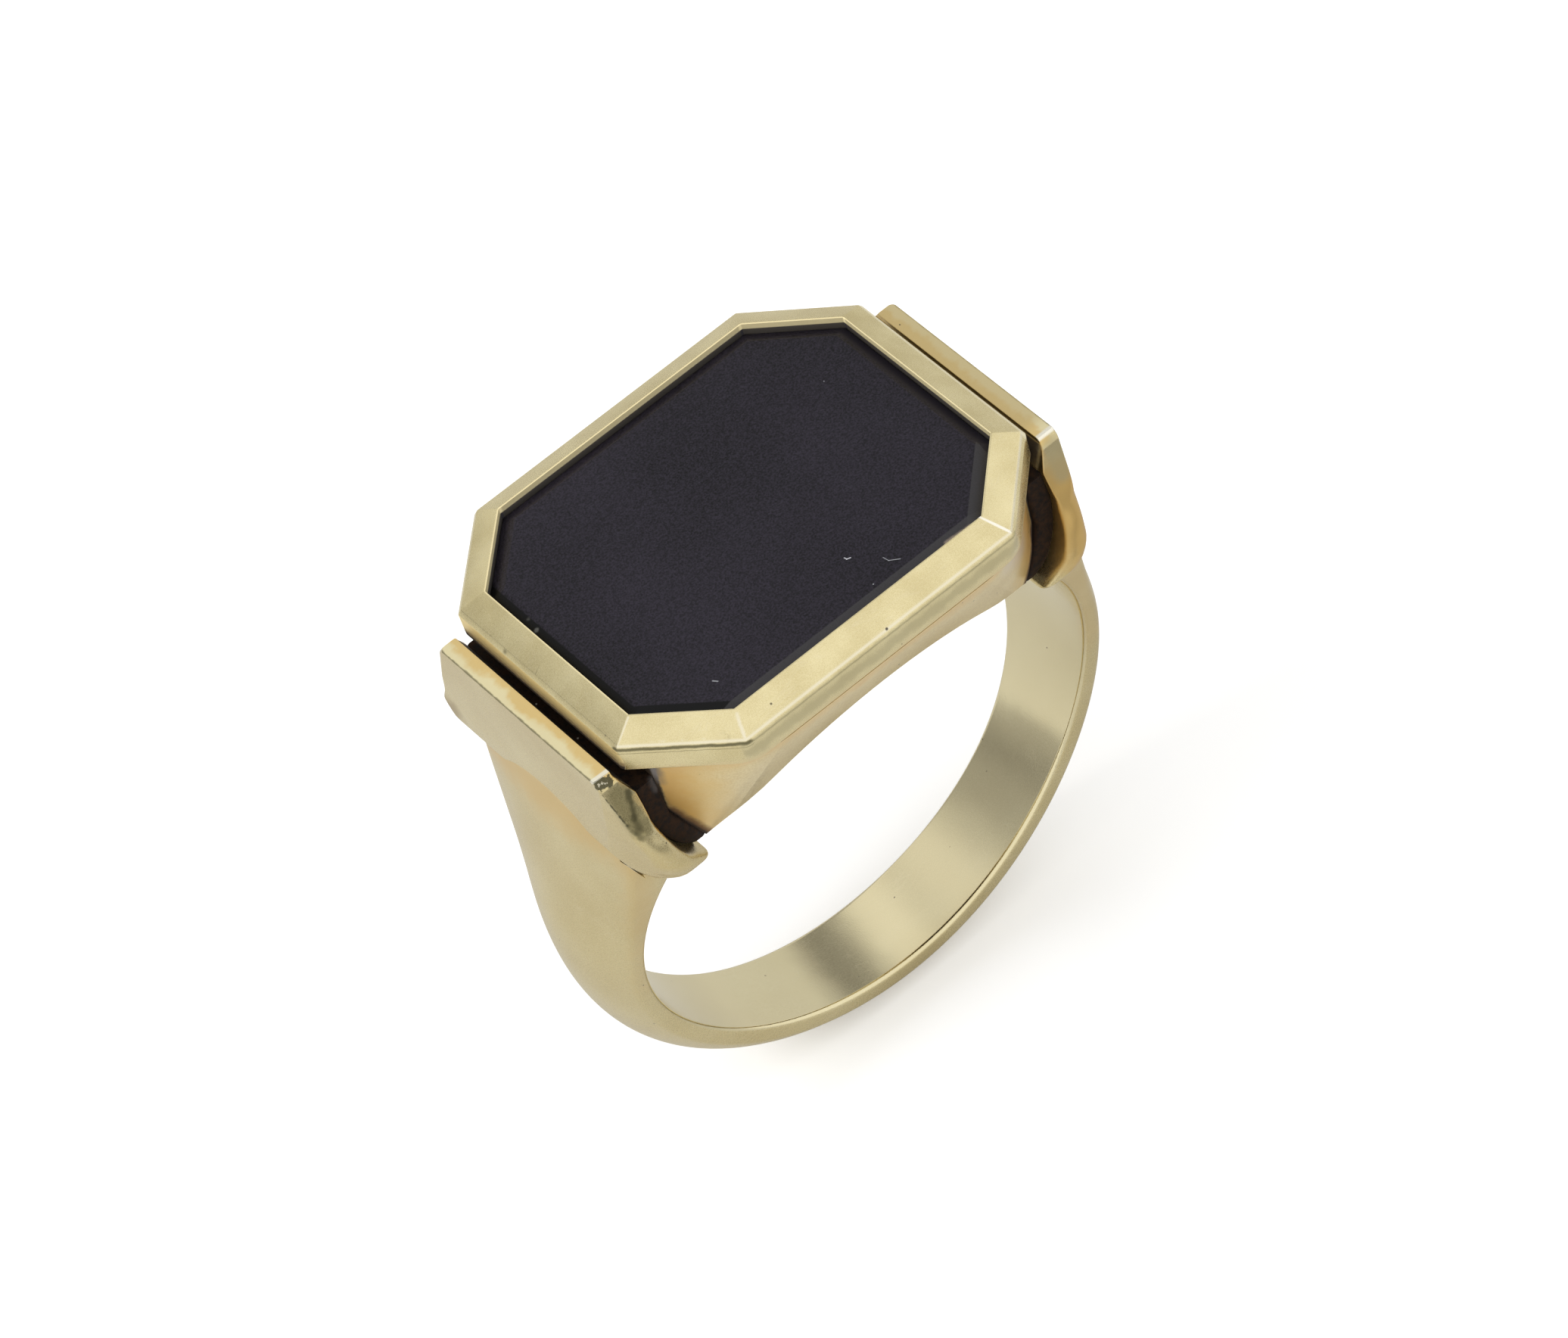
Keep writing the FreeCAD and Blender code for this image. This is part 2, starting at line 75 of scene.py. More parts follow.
class Graph:
    """Adds nodes to one node tree and joins them."""

    def __init__(self, tree: bpy.types.NodeTree) -> None:
        """Keeps the tree.

        Args:
            tree: the node tree that the nodes go into.
        """
        self.tree = tree

    def feed(self, target: Socket, value: object) -> None:
        """Joins a socket to a target, or sets the target to a plain value.

        Args:
            target: the input to fill.
            value: an output socket, a number or a tuple.
        """
        if isinstance(value, bpy.types.NodeSocket):
            self.tree.links.new(value, target)
        else:
            target.default_value = value

    def add(self, kind: str, inputs: dict, **settings: object) -> bpy.types.Node:
        """Adds a node.

        Args:
            kind: its type, without the leading ShaderNode.
            inputs: values or sockets by input name or number.
            **settings: the node's own properties.

        Returns:
            The new node.
        """
        node = self.tree.nodes.new(f"ShaderNode{kind}")
        for name, value in settings.items():
            setattr(node, name, value)
        for name, value in inputs.items():
            self.feed(node.inputs[name], value)
        return node

    def math(self, operation: str, *terms: object, clamp: bool = False) -> Socket:
        """Adds a Math node.

        Args:
            operation: its operation.
            *terms: its inputs in order.
            clamp: whether the result is held between 0 and 1.

        Returns:
            The result socket.
        """
        node = self.add("Math", dict(enumerate(terms)), operation=operation, use_clamp=clamp)
        return node.outputs[0]

    def times(self, *terms: object, clamp: bool = False) -> Socket:
        """Returns the product of two values."""
        return self.math("MULTIPLY", *terms, clamp=clamp)

    def plus(self, *terms: object, clamp: bool = False) -> Socket:
        """Returns the sum of two values."""
        return self.math("ADD", *terms, clamp=clamp)

    def minus(self, *terms: object, clamp: bool = False) -> Socket:
        """Returns the first value less the second."""
        return self.math("SUBTRACT", *terms, clamp=clamp)

    def vector(self, operation: str, *terms: object) -> Socket:
        """Adds a Vector Math node.

        Args:
            operation: its operation.
            *terms: its inputs in order.

        Returns:
            The vector output, or the value output where the operation gives a number.
        """
        node = self.add("VectorMath", dict(enumerate(terms)), operation=operation)
        return node.outputs["Value" if operation in {"LENGTH", "DOT_PRODUCT"} else "Vector"]

    def scaled(self, vector: object, factor: object) -> Socket:
        """Returns a vector times a number."""
        return self.add("VectorMath", {0: vector, "Scale": factor}, operation="SCALE").outputs[0]

    def step(self, value: object, low: object, high: object, top: object = 1.0) -> Socket:
        """Maps a value smoothly from 0 at low to top at high.

        Args:
            value: the value to map.
            low: where the result is 0.
            high: where the result is top.
            top: the largest result.

        Returns:
            The mapped value.
        """
        inputs = {0: value, 1: low, 2: high, 3: 0.0, 4: top}
        return self.add("MapRange", inputs, interpolation_type="SMOOTHSTEP").outputs[0]

    def blend(self, share: object, first: object, second: object) -> Socket:
        """Mixes two colours.

        Args:
            share: how much of the second shows.
            first: the colour at 0.
            second: the colour at 1.

        Returns:
            The mixed colour.
        """
        node = self.add("Mix", {0: share, 6: first, 7: second}, data_type="RGBA")
        return node.outputs[2]

    def painted(self, tint: object, mask: Socket, share: object, colour: Colour) -> Socket:
        """Returns a tint with a share of a colour laid over it where a mask shows."""
        return self.blend(self.times(mask, share), tint, colour)

    def noise(self, place: Socket, scale: object, detail: float = 3.0, rough: float = 0.5) -> Socket:
        """Adds a noise texture.

        Args:
            place: where it is read.
            scale: features per unit of place.
            detail: octaves.
            rough: strength of the finer octaves.

        Returns:
            Its value.
        """
        inputs = {"Vector": place, "Scale": scale, "Detail": detail, "Roughness": rough}
        return self.add("TexNoise", inputs).outputs[0]

    def place(self) -> Socket:
        """Returns the place on the ring in millimetres."""
        return self.scaled(self.add("TexCoord", {}).outputs["Object"], 1 / MM)


def rgb(red: float, green: float, blue: float) -> Colour:
    """Returns an opaque colour."""
    return (red, green, blue, 1.0)


def grey(level: float) -> Colour:
    """Returns an opaque grey."""
    return rgb(level, level, level)


class Effects:
    """The surface effects that several finishes share, each a node group built once."""

    groups: dict[str, bpy.types.NodeTree] = {}

    @classmethod
    def start(cls, name: str, inputs: dict[str, object], outputs: Sequence[str]) -> tuple[Graph, dict, dict]:
        """Starts a group with number or place inputs and number outputs.

        Args:
            name: the group's name.
            inputs: each input's name and usual value.
            outputs: the outputs' names.

        Returns:
            The graph, the input sockets by name and the output sockets by name.
        """
        tree = bpy.data.node_groups.new(name, "ShaderNodeTree")
        for label, value in inputs.items():
            kind = "NodeSocketVector" if isinstance(value, tuple) else "NodeSocketFloat"
            tree.interface.new_socket(label, in_out="INPUT", socket_type=kind).default_value = value
        for label in outputs:
            tree.interface.new_socket(label, in_out="OUTPUT", socket_type="NodeSocketFloat")
        graph = Graph(tree)
        entry = tree.nodes.new("NodeGroupInput")
        leave = tree.nodes.new("NodeGroupOutput")
        cls.groups[name] = tree
        return graph, {s.name: s for s in entry.outputs}, {s.name: s for s in leave.inputs}

    @classmethod
    def build(cls) -> None:
        """Builds every group."""
        cls.build_grain()
        cls.build_scratches()
        cls.build_toning()
        cls.build_grime()
        cls.build_pits()
        cls.build_wear()
        cls.build_stroke()
        cls.build_layer()

    @classmethod
    def build_grain(cls) -> None:
        """Fine grain: a close speckle and a slow unevenness."""
        graph, entry, leave = cls.start("fine_grain", {"Scale": 9.0, "Wave": 0.5}, ("Speckle", "Wave"))
        place = graph.place()
        speckle = graph.noise(place, entry["Scale"], detail=2.0, rough=0.7)
        graph.feed(leave["Speckle"], graph.step(speckle, 0.25, 0.75))
        graph.feed(leave["Wave"], graph.noise(place, entry["Wave"], detail=2.0, rough=0.45))

    @classmethod
    def build_scratches(cls) -> None:
        """Hairline scratches in three directions, broken up by a slow mask."""
        graph, entry, leave = cls.start("hairlines", {"Density": 1.2, "Width": 0.04, "Cover": 0.5}, ("Mask",))
        place = graph.place()
        total: Optional[Socket] = None
        for number, turn in enumerate(((0.3, 0.2, 0.5), (1.1, -0.4, 2.1), (0.2, 0.9, -0.8))):
            aim = {"Rotation": turn, "Scale": (0.16, 2.4, 2.4), "Location": (3.0 * number, 0, 0)}
            spun = graph.add("Mapping", {"Vector": place, **aim}).outputs[0]
            cell = {"Vector": spun, "Scale": entry["Density"]}
            border = graph.add("TexVoronoi", cell, feature="DISTANCE_TO_EDGE").outputs[0]
            line = graph.step(border, entry["Width"], 0.0)
            broken = graph.step(graph.noise(spun, 0.9, detail=1.0), 0.62, 0.48)
            share = graph.times(line, broken)
            total = share if total is None else graph.math("MAXIMUM", total, share)
        cover = graph.step(graph.noise(place, 0.8, detail=2.0), 0.65, 0.3)
        graph.feed(leave["Mask"], graph.times(graph.times(total, cover), entry["Cover"]))

    @classmethod
    def build_toning(cls) -> None:
        """Warm toning in soft cloudy patches."""
        graph, entry, leave = cls.start("warm_toning", {"Scale": 0.35, "Cover": 0.4}, ("Mask",))
        place = graph.place()
        cloud = graph.noise(place, entry["Scale"], detail=5.0, rough=0.62)
        low = graph.minus(0.8, graph.times(entry["Cover"], 0.5))
        high = graph.plus(low, 0.22)
        graph.feed(leave["Mask"], graph.step(cloud, low, high))

    @classmethod
    def build_grime(cls) -> None:
        """Dirt and painted shade where surfaces meet closely, read from ambient occlusion, with a ragged
        border.
        """
        graph, entry, leave = cls.start("crevice_dirt_and_shade", {"Reach": 0.5, "Cover": 0.8}, ("Mask",))
        place = graph.place()
        distance = graph.times(entry["Reach"], MM)
        shade = graph.add("AmbientOcclusion", {"Distance": distance}, samples=8, only_local=False)
        closed = graph.minus(1.0, shade.outputs["AO"])
        uneven = graph.noise(place, 5.0, detail=3.0, rough=0.6)
        ragged = graph.times(graph.minus(uneven, 0.5), 0.35)
        low = graph.minus(1.0, entry["Cover"])
        mask = graph.step(graph.plus(closed, ragged), low, graph.plus(low, 0.3))
        graph.feed(leave["Mask"], mask)

    @classmethod
    def build_pits(cls) -> None:
        """Small dark specks, few and uneven."""
        graph, entry, leave = cls.start("specks", {"Scale": 1.6, "Size": 0.07, "Share": 0.3}, ("Mask",))
        place = graph.place()
        wobble = graph.add("TexNoise", {"Vector": place, "Scale": 9.0, "Detail": 2.0})
        moved = graph.vector("ADD", place, graph.vector("MULTIPLY", wobble.outputs["Color"], (0.09,) * 3))
        cells = graph.add("TexVoronoi", {"Vector": moved, "Scale": entry["Scale"]}, feature="F1")
        pick = graph.add("SeparateColor", {0: cells.outputs["Color"]}).outputs[0]
        chosen = graph.math("LESS_THAN", pick, entry["Share"])
        dot = graph.step(cells.outputs["Distance"], entry["Size"], graph.times(entry["Size"], 0.4))
        graph.feed(leave["Mask"], graph.times(dot, chosen))

    @classmethod
    def build_wear(cls) -> None:
        """Rubbed corners and painted edge highlights: where the rounded normal leaves the flat one."""
        graph, entry, leave = cls.start("rubbed_and_glinting_edges", {"Reach": 0.12, "Gain": 3.0}, ("Mask",))
        radius = graph.times(entry["Reach"], MM)
        rounded = graph.add("Bevel", {"Radius": radius}, samples=6).outputs[0]
        plain = graph.add("NewGeometry", {}).outputs["Normal"]
        turn = graph.minus(1.0, graph.vector("DOT_PRODUCT", rounded, plain))
        mask = graph.times(turn, entry["Gain"], clamp=True)
        graph.feed(leave["Mask"], mask)

    @classmethod
    def build_stroke(cls) -> None:
        """A soft stroke from one place to another, in millimetres, with a cloudy border."""
        ends = {"Start": (0.0, 0.0, 0.0), "End": (0.0, 0.0, 0.0)}
        inputs = {**ends, "Width": 0.1, "Soft": 0.05, "Cloud": 0.0, "Puff": 1.6}
        graph, entry, leave = cls.start("stroke", inputs, ("Mask",))
        place = graph.place()
        run = graph.vector("SUBTRACT", entry["End"], entry["Start"])
        arm = graph.vector("SUBTRACT", place, entry["Start"])
        length = graph.math("MAXIMUM", graph.vector("DOT_PRODUCT", run, run), 1e-6)
        share = graph.math("DIVIDE", graph.vector("DOT_PRODUCT", arm, run), length, clamp=True)
        away = graph.vector("LENGTH", graph.vector("SUBTRACT", arm, graph.scaled(run, share)))
        away = graph.plus(away, cls.cloud(graph, place, entry))
        inner = graph.minus(entry["Width"], entry["Soft"])
        outer = graph.plus(entry["Width"], entry["Soft"])
        graph.feed(leave["Mask"], graph.step(away, outer, inner))

    @classmethod
    def build_layer(cls) -> None:
        """A soft layer between two levels along a direction, in millimetres, alike left and right."""
        inputs = {"Along": (0.0, 0.0, 1.0), "Low": 0.0, "High": 1.0, "Soft": 0.1, "Cloud": 0.0, "Puff": 1.6}
        graph, entry, leave = cls.start("layer", inputs, ("Mask",))
        place = graph.place()
        parts = graph.add("SeparateXYZ", {0: place}).outputs
        folded = graph.add("CombineXYZ", {0: graph.math("ABSOLUTE", parts[0]), 1: parts[1], 2: parts[2]})
        level = graph.vector("DOT_PRODUCT", folded.outputs[0], entry["Along"])
        level = graph.plus(level, cls.cloud(graph, place, entry))
        limits = []
        for name, inwards, outwards in (("Low", graph.plus, graph.minus), ("High", graph.minus, graph.plus)):
            outside = outwards(entry[name], entry["Soft"])
            inside = inwards(entry[name], entry["Soft"])
            limits.append(graph.step(level, outside, inside))
        graph.feed(leave["Mask"], graph.times(*limits))

    @classmethod
    def cloud(cls, graph: Graph, place: Socket, entry: dict) -> Socket:
        """Returns a cloudy offset in millimetres from a group's Cloud and Puff inputs."""
        noise = graph.minus(graph.noise(place, entry["Puff"], detail=4.0, rough=0.6), 0.5)
        return graph.times(noise, graph.times(entry["Cloud"], 4.0))

    @classmethod
    def use(cls, graph: Graph, name: str, values: dict[str, object], output: str = "Mask") -> Socket:
        """Places a group in a material.

        Args:
            graph: the material's graph.
            name: the group's name.
            values: its inputs.
            output: which output to return.

        Returns:
            The output socket.
        """
        node = graph.tree.nodes.new("ShaderNodeGroup")
        node.node_tree = cls.groups[name]
        for label, value in values.items():
            graph.feed(node.inputs[label], value)
        return node.outputs[output]


# ---------------------------------------------------------------- finishes


@dataclass(frozen=True)
class Zone:
    """A part of a surface. Its fields are the inputs of the node group with its class's name."""

    def mask(self, graph: Graph) -> Socket:
        """Returns the zone's mask in a material."""
        values = {label.capitalize(): value for label, value in vars(self).items()}
        return Effects.use(graph, type(self).__name__.lower(), values)


@dataclass(frozen=True)
class Stroke(Zone):
    """A zone round a straight line, or round one place where both ends are the same."""

    start: Place
    end: Place
    width: float
    soft: float = 0.05
    cloud: float = 0.0
    puff: float = 1.6


@dataclass(frozen=True)
class Layer(Zone):
    """A zone between two levels along a direction, the same on the ring's left and right."""

    along: Place
    low: float
    high: float
    soft: float = 0.1
    cloud: float = 0.0
    puff: float = 1.6


@dataclass(frozen=True)
class Mark:
    """A change of colour and polish where all of its zones meet."""

    zones: tuple[Zone, ...]
    colour: Colour
    share: float
    dull: float
    metal: float

    def mask(self, graph: Graph) -> Socket:
        """Multiplies the zones' masks.

        Args:
            graph: the material's graph.

        Returns:
            Their product.
        """
        total = self.zones[0].mask(graph)
        for zone in self.zones[1:]:
            total = graph.times(total, zone.mask(graph))
        return total


def spot(place: Place, width: float, soft: float = 0.03, cloud: float = 0.0, puff: float = 1.6) -> Stroke:
    """Returns the zone round one place."""
    return Stroke(place, place, width, soft, cloud, puff)


def past(along: Place, level: float, soft: float = 0.1, cloud: float = 0.0, puff: float = 1.6) -> Layer:
    """Returns the zone past a level along a direction."""
    return Layer(along, level, FARTHEST, soft, cloud, puff)


def before(along: Place, level: float, soft: float = 0.1, cloud: float = 0.0, puff: float = 1.6) -> Layer:
    """Returns the zone before a level along a direction."""
    return Layer(along, -FARTHEST, level, soft, cloud, puff)


def patch(colour: Colour, share: float, *zones: Zone, dull: float = 0.0, metal: float = 1.0) -> Mark:
    """Returns a mark that shows a share of its colour, adds dullness and leaves so much of the metal."""
    return Mark(zones, colour, share, dull, metal)


# Directions: OUT is to the right and the left alike, and so is the x of every other direction.
OUT = (1, 0, 0)
FAR = (0, 1, 0)
NEAR = (0, -1, 0)
UP = (0, 0, 1)
NEAR_CUT = (0.707, -0.707, 0)
# A level in millimetres that no surface of the ring reaches.
FARTHEST = 99

WARM = rgb(0.76, 0.50, 0.18)
BROWN_SHADE = rgb(0.16, 0.075, 0.03)
SOOT_AND_SHADE = rgb(0.018, 0.010, 0.006)
OLIVE_REFLECTION_AND_SCUFF = rgb(0.10, 0.09, 0.045)
PALE_HIGHLIGHT = rgb(0.93, 0.86, 0.66)


@dataclass(frozen=True)
class GoldFinish:
    """Yellow metal with handling marks, toning and dirt, with painted shade in crevices and edges painted
    lighter for wear and highlights.
    """

    name: str
    colour: Colour = rgb(0.78, 0.66, 0.37)
    shade: Colour = rgb(0.62, 0.50, 0.25)
    warm: Colour = rgb(0.62, 0.36, 0.12)
    rubbed: Colour = rgb(0.90, 0.81, 0.58)
    roughness: float = 0.24
    speckle_dull: float = 0.10
    toned_dull: float = 0.14
    line_dull: float = 0.12
    dirt_dull: float = 0.45
    grain: float = 24.0
    grain_share: float = 0.3
    grain_depth: float = 0.0006
    wave: float = 0.35
    wave_depth: float = 0.02
    scratch_density: float = 1.2
    scratches: float = 0.35
    scratch_depth: float = 0.001
    toning: float = 0.15
    toning_share: float = 0.55
    rubbed_share: float = 0.5
    dirt_reach: float = 0.35
    dirt_cover: float = 0.45
    speck_share: float = 0.12
    stop_share: float = 0.85
    marks: tuple[Mark, ...] = ()

    def build(self) -> bpy.types.Material:
        """Builds the material.

        Returns:
            The new material.
        """
        material, graph, shader = new_material(self.name)
        grain = {"Scale": self.grain, "Wave": self.wave}
        speckle = Effects.use(graph, "fine_grain", grain, "Speckle")
        wave = Effects.use(graph, "fine_grain", grain, "Wave")
        lines = Effects.use(graph, "hairlines", {"Density": self.scratch_density, "Cover": self.scratches})
        toned = Effects.use(graph, "warm_toning", {"Cover": self.toning})
        # dirt and painted shade where surfaces meet closely
        dirt_and_shade = Effects.use(graph, "crevice_dirt_and_shade", {"Reach": self.dirt_reach, "Cover": self.dirt_cover})
        specks = Effects.use(graph, "specks", {"Share": self.speck_share})
        # edges painted lighter: rubbed wear and painted highlights
        worn_and_glinting = Effects.use(graph, "rubbed_and_glinting_edges", {})
        mottle = graph.plus(graph.times(speckle, self.grain_share), graph.times(wave, 1 - self.grain_share))
        tint = graph.blend(graph.step(mottle, 0.2, 0.85), self.shade, self.colour)
        tint = graph.painted(tint, toned, self.toning_share, self.warm)
        tint = graph.painted(tint, worn_and_glinting, self.rubbed_share, self.rubbed)
        tint = graph.painted(tint, lines, self.rubbed_share, self.rubbed)
        dull: object = self.roughness
        for mask, rise in ((speckle, self.speckle_dull), (toned, self.toned_dull), (lines, self.line_dull)):
            dull = graph.plus(dull, graph.times(mask, rise))
        metal: object = 1.0
        for mark in self.marks:
            mask = mark.mask(graph)
            cover = graph.times(mask, mark.share)
            tint = graph.blend(cover, tint, mark.colour)
            if mark.dull:
                dull = graph.plus(dull, graph.times(mask, mark.dull))
            if mark.metal < 1.0:
                metal = graph.minus(metal, graph.times(cover, 1.0 - mark.metal), clamp=True)
        stops = graph.math("MAXIMUM", dirt_and_shade, graph.times(specks, self.stop_share))
        tint = graph.blend(stops, tint, SOOT_AND_SHADE)
        metal = graph.minus(metal, graph.times(stops, self.stop_share), clamp=True)
        dull = graph.plus(dull, graph.times(dirt_and_shade, self.dirt_dull), clamp=True)
        graph.feed(shader.inputs["Base Color"], tint)
        graph.feed(shader.inputs["Metallic"], metal)
        graph.feed(shader.inputs["Roughness"], dull)
        height = graph.times(speckle, self.grain_depth)
        height = graph.plus(height, graph.times(wave, self.wave_depth))
        height = graph.minus(height, graph.times(lines, self.scratch_depth))
        bump_into(graph, shader, height)
        return material


@dataclass(frozen=True)
class OnyxFinish:
    """Black stone with a satin polish, a close grain and hairline marks."""

    name: str
    colour: Colour = rgb(0.0, 0.0, 0.0)
    pale: Colour = rgb(0.030, 0.025, 0.038)
    line_colour: Colour = rgb(0.35, 0.36, 0.45)
    line_share: float = 0.03
    speck_colour: Colour = rgb(0.5, 0.5, 0.55)
    speck_share: float = 0.35
    roughness: float = 0.36
    gloss: float = 0.22
    grain: float = 14.0
    grain_share: float = 0.75
    grain_depth: float = 0.0008
    wave: float = 0.16
    marks: tuple[Mark, ...] = ()

    def build(self) -> bpy.types.Material:
        """Builds the material.

        Returns:
            The new material.
        """
        material, graph, shader = new_material(self.name)
        grain = {"Scale": self.grain, "Wave": self.wave}
        speckle = Effects.use(graph, "fine_grain", grain, "Speckle")
        cloud = Effects.use(graph, "fine_grain", grain, "Wave")
        lines = Effects.use(graph, "hairlines", {"Density": 0.5, "Width": 0.012, "Cover": 0.5})
        specks = Effects.use(graph, "specks", {"Scale": 0.9, "Size": 0.035, "Share": 0.12})
        share = graph.plus(graph.times(speckle, self.grain_share), graph.step(cloud, 0.3, 0.8, top=0.25))
        tint = graph.blend(share, self.colour, self.pale)
        tint = graph.painted(tint, lines, self.line_share, self.line_colour)
        tint = graph.painted(tint, specks, self.speck_share, self.speck_colour)
        for mark in self.marks:
            tint = graph.painted(tint, mark.mask(graph), mark.share, mark.colour)
        graph.feed(shader.inputs["Base Color"], tint)
        shader.inputs["Specular IOR Level"].default_value = self.gloss
        dull = graph.plus(self.roughness, graph.times(speckle, 0.08))
        graph.feed(shader.inputs["Roughness"], graph.plus(dull, graph.times(lines, 0.05)))
        bump_into(graph, shader, graph.times(speckle, self.grain_depth))
        return material


@dataclass(frozen=True)
class PlainFinish:
    """A dull or clear filler with uneven colour: cement and solder."""

    name: str
    colour: Colour
    shade: Colour
    roughness: float
    metallic: float
    gloss: float = 0.25
    grain_depth: float = 0.006
    marks: tuple[Mark, ...] = ()

    def build(self) -> bpy.types.Material:
        """Builds the material.

        Returns:
            The new material.
        """
        material, graph, shader = new_material(self.name)
        speckle = Effects.use(graph, "fine_grain", {"Scale": 5.0, "Wave": 0.9}, "Speckle")
        # dirt and painted shade where surfaces meet closely
        dirt_and_shade = Effects.use(graph, "crevice_dirt_and_shade", {"Reach": 0.4, "Cover": 0.6})
        tint = graph.blend(speckle, self.shade, self.colour)
        tint = graph.blend(dirt_and_shade, tint, SOOT_AND_SHADE)
        for mark in self.marks:
            tint = graph.painted(tint, mark.mask(graph), mark.share, mark.colour)
        graph.feed(shader.inputs["Base Color"], tint)
        shader.inputs["Metallic"].default_value = self.metallic
        shader.inputs["Specular IOR Level"].default_value = self.gloss
        graph.feed(shader.inputs["Roughness"], graph.plus(self.roughness, graph.times(speckle, 0.2)))
        bump_into(graph, shader, graph.times(speckle, self.grain_depth))
        return material


def new_material(name: str) -> tuple[bpy.types.Material, Graph, bpy.types.Node]:
    """Starts a material with an empty Principled shader.

    Args:
        name: the material's name.

    Returns:
        The material, its graph and its shader.
    """
    material = bpy.data.materials.new(name)
    material.use_nodes = True
    material.node_tree.nodes.clear()
    graph = Graph(material.node_tree)
    shader = graph.add("BsdfPrincipled", {})
    graph.add("OutputMaterial", {"Surface": shader.outputs[0]})
    return material, graph, shader


def bump_into(graph: Graph, shader: bpy.types.Node, height: Socket) -> None:
    """Turns a height in millimetres into the shader's normal.

    Args:
        graph: the material's graph.
        shader: its Principled shader.
        height: the height in millimetres.
    """
    bump = graph.add("Bump", {"Strength": 1.0, "Distance": MM, "Height": height})
    graph.feed(shader.inputs["Normal"], bump.outputs[0])


Finish = GoldFinish | OnyxFinish | PlainFinish


# ---------------------------------------------------------------- mesh helpers


def swing(centre: Vector, first: Vector, last: Vector, steps: int) -> list[Point]:
    """Draws an arc round a centre.

    Args:
        centre: the arc's centre.
        first: from the centre to where the arc starts.
        last: from the centre to where it ends.
        steps: how many points it has, less one.

    Returns:
        The arc's points, both ends included.
    """
    turn = first.angle_signed(last)
    made: list[Point] = []
    for number in range(steps + 1):
        arm = first.copy()
        arm.rotate(Matrix.Rotation(-turn * number / steps, 2))
        made.append((centre.x + arm.x, centre.y + arm.y))
    return made


def rounded(points: Sequence[Place], steps: int) -> list[Point]:
    """Rounds the corners of a closed polygon.

    Args:
        points: each corner and its radius; a radius of 0 keeps the corner.
        steps: how many points each rounded corner has, less one.

    Returns:
        The polygon's points.
    """
    made: list[Point] = []
    count = len(points)
    for index, (x, y, radius) in enumerate(points):
        corner = Vector((x, y))
        if radius <= 0:
            made.append((x, y))
            continue
        prior = (Vector(points[index - 1][:2]) - corner).normalized()
        after = (Vector(points[(index + 1) % count][:2]) - corner).normalized()
        half = prior.angle(after) / 2
        reach = radius / math.tan(half)
        centre = corner + (prior + after).normalized() * (radius / math.sin(half))
        made += swing(centre, corner + prior * reach - centre, corner + after * reach - centre, steps)
    return made


def ease(value: float, low: float, high: float) -> float:
    """Returns a smooth step from 0 at low to 1 at high."""
    share = max(0.0, min(1.0, (value - low) / (high - low)))
    return share * share * (3 - 2 * share)


def skin(name: str, loops: Sequence[Sequence[Vector]], closed: bool) -> bpy.types.Object:
    """Joins loops of points, in millimetres, with a skin of quads.

    Args:
        name: the new object's name.
        loops: closed loops with one number of points.
        closed: whether the last loop joins the first; if not, both ends are capped.

    Returns:
        The new object.
    """
    mesh = bmesh.new()
    rows = [[mesh.verts.new(point * MM) for point in loop] for loop in loops]
    count = len(rows)
    width = len(rows[0])
    for index in range(count if closed else count - 1):
        here, there = rows[index], rows[(index + 1) % count]
        for step in range(width):
            after = (step + 1) % width
            mesh.faces.new((here[step], here[after], there[after], there[step]))
    if not closed:
        mesh.faces.new(list(reversed(rows[0])))
        mesh.faces.new(rows[-1])
    bmesh.ops.recalc_face_normals(mesh, faces=mesh.faces)
    if mesh.calc_volume(signed=True) < 0:
        bmesh.ops.reverse_faces(mesh, faces=mesh.faces)
    return finish_mesh(name, mesh)


def finish_mesh(name: str, mesh: bmesh.types.BMesh) -> bpy.types.Object:
    """Turns a working mesh into an object in the scene.

    Args:
        name: the object's name.
        mesh: the working mesh, which is freed.

    Returns:
        The new object.
    """
    data = bpy.data.meshes.new(name)
    mesh.to_mesh(data)
    mesh.free()
    thing = bpy.data.objects.new(name, data)
    bpy.context.scene.collection.objects.link(thing)
    return thing


def settle(thing: bpy.types.Object) -> None:
    """Applies an object's modifiers to its mesh.

    Args:
        thing: the object, which has none left.
    """
    bpy.context.view_layer.update()
    graph = bpy.context.evaluated_depsgraph_get()
    data = bpy.data.meshes.new_from_object(thing.evaluated_get(graph), depsgraph=graph)
    thing.modifiers.clear()
    thing.data = data


def smooth(thing: bpy.types.Object, angle: float) -> None:
    """Shades an object smooth, with sharp edges above an angle.

    Args:
        thing: the object.
        angle: in degrees.
    """
    thing.data.shade_smooth()
    thing.data.set_sharp_from_angle(angle=math.radians(angle))


def solid_copy(node: str, name: str) -> bpy.types.Object:
    """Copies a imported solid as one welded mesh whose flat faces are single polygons.

    Args:
        node: the solid's node.
        name: the copy's name.

    Returns:
        The new object.
    """
    mesh = bmesh.new()
    mesh.from_mesh(frame["nodes"][node].data)
    bmesh.ops.remove_doubles(mesh, verts=mesh.verts, dist=2e-7)
    bmesh.ops.dissolve_limit(mesh, angle_limit=math.radians(0.2), verts=mesh.verts, edges=mesh.edges)
    return finish_mesh(name, mesh)


def soften(thing: bpy.types.Object, width: float, angle: float) -> None:
    """Rounds an object's sharp edges.

    Args:
        thing: the object.
        width: the rounding's width in millimetres.
        angle: the least angle, in degrees, of an edge that is rounded.
    """
    edge = thing.modifiers.new("rounding", "BEVEL")
    edge.width = width * MM
    edge.segments = 3
    edge.limit_method = "ANGLE"
    edge.angle_limit = math.radians(angle)
    edge.harden_normals = False
    edge.use_clamp_overlap = True
    settle(thing)


# ---------------------------------------------------------------- the ring's pieces


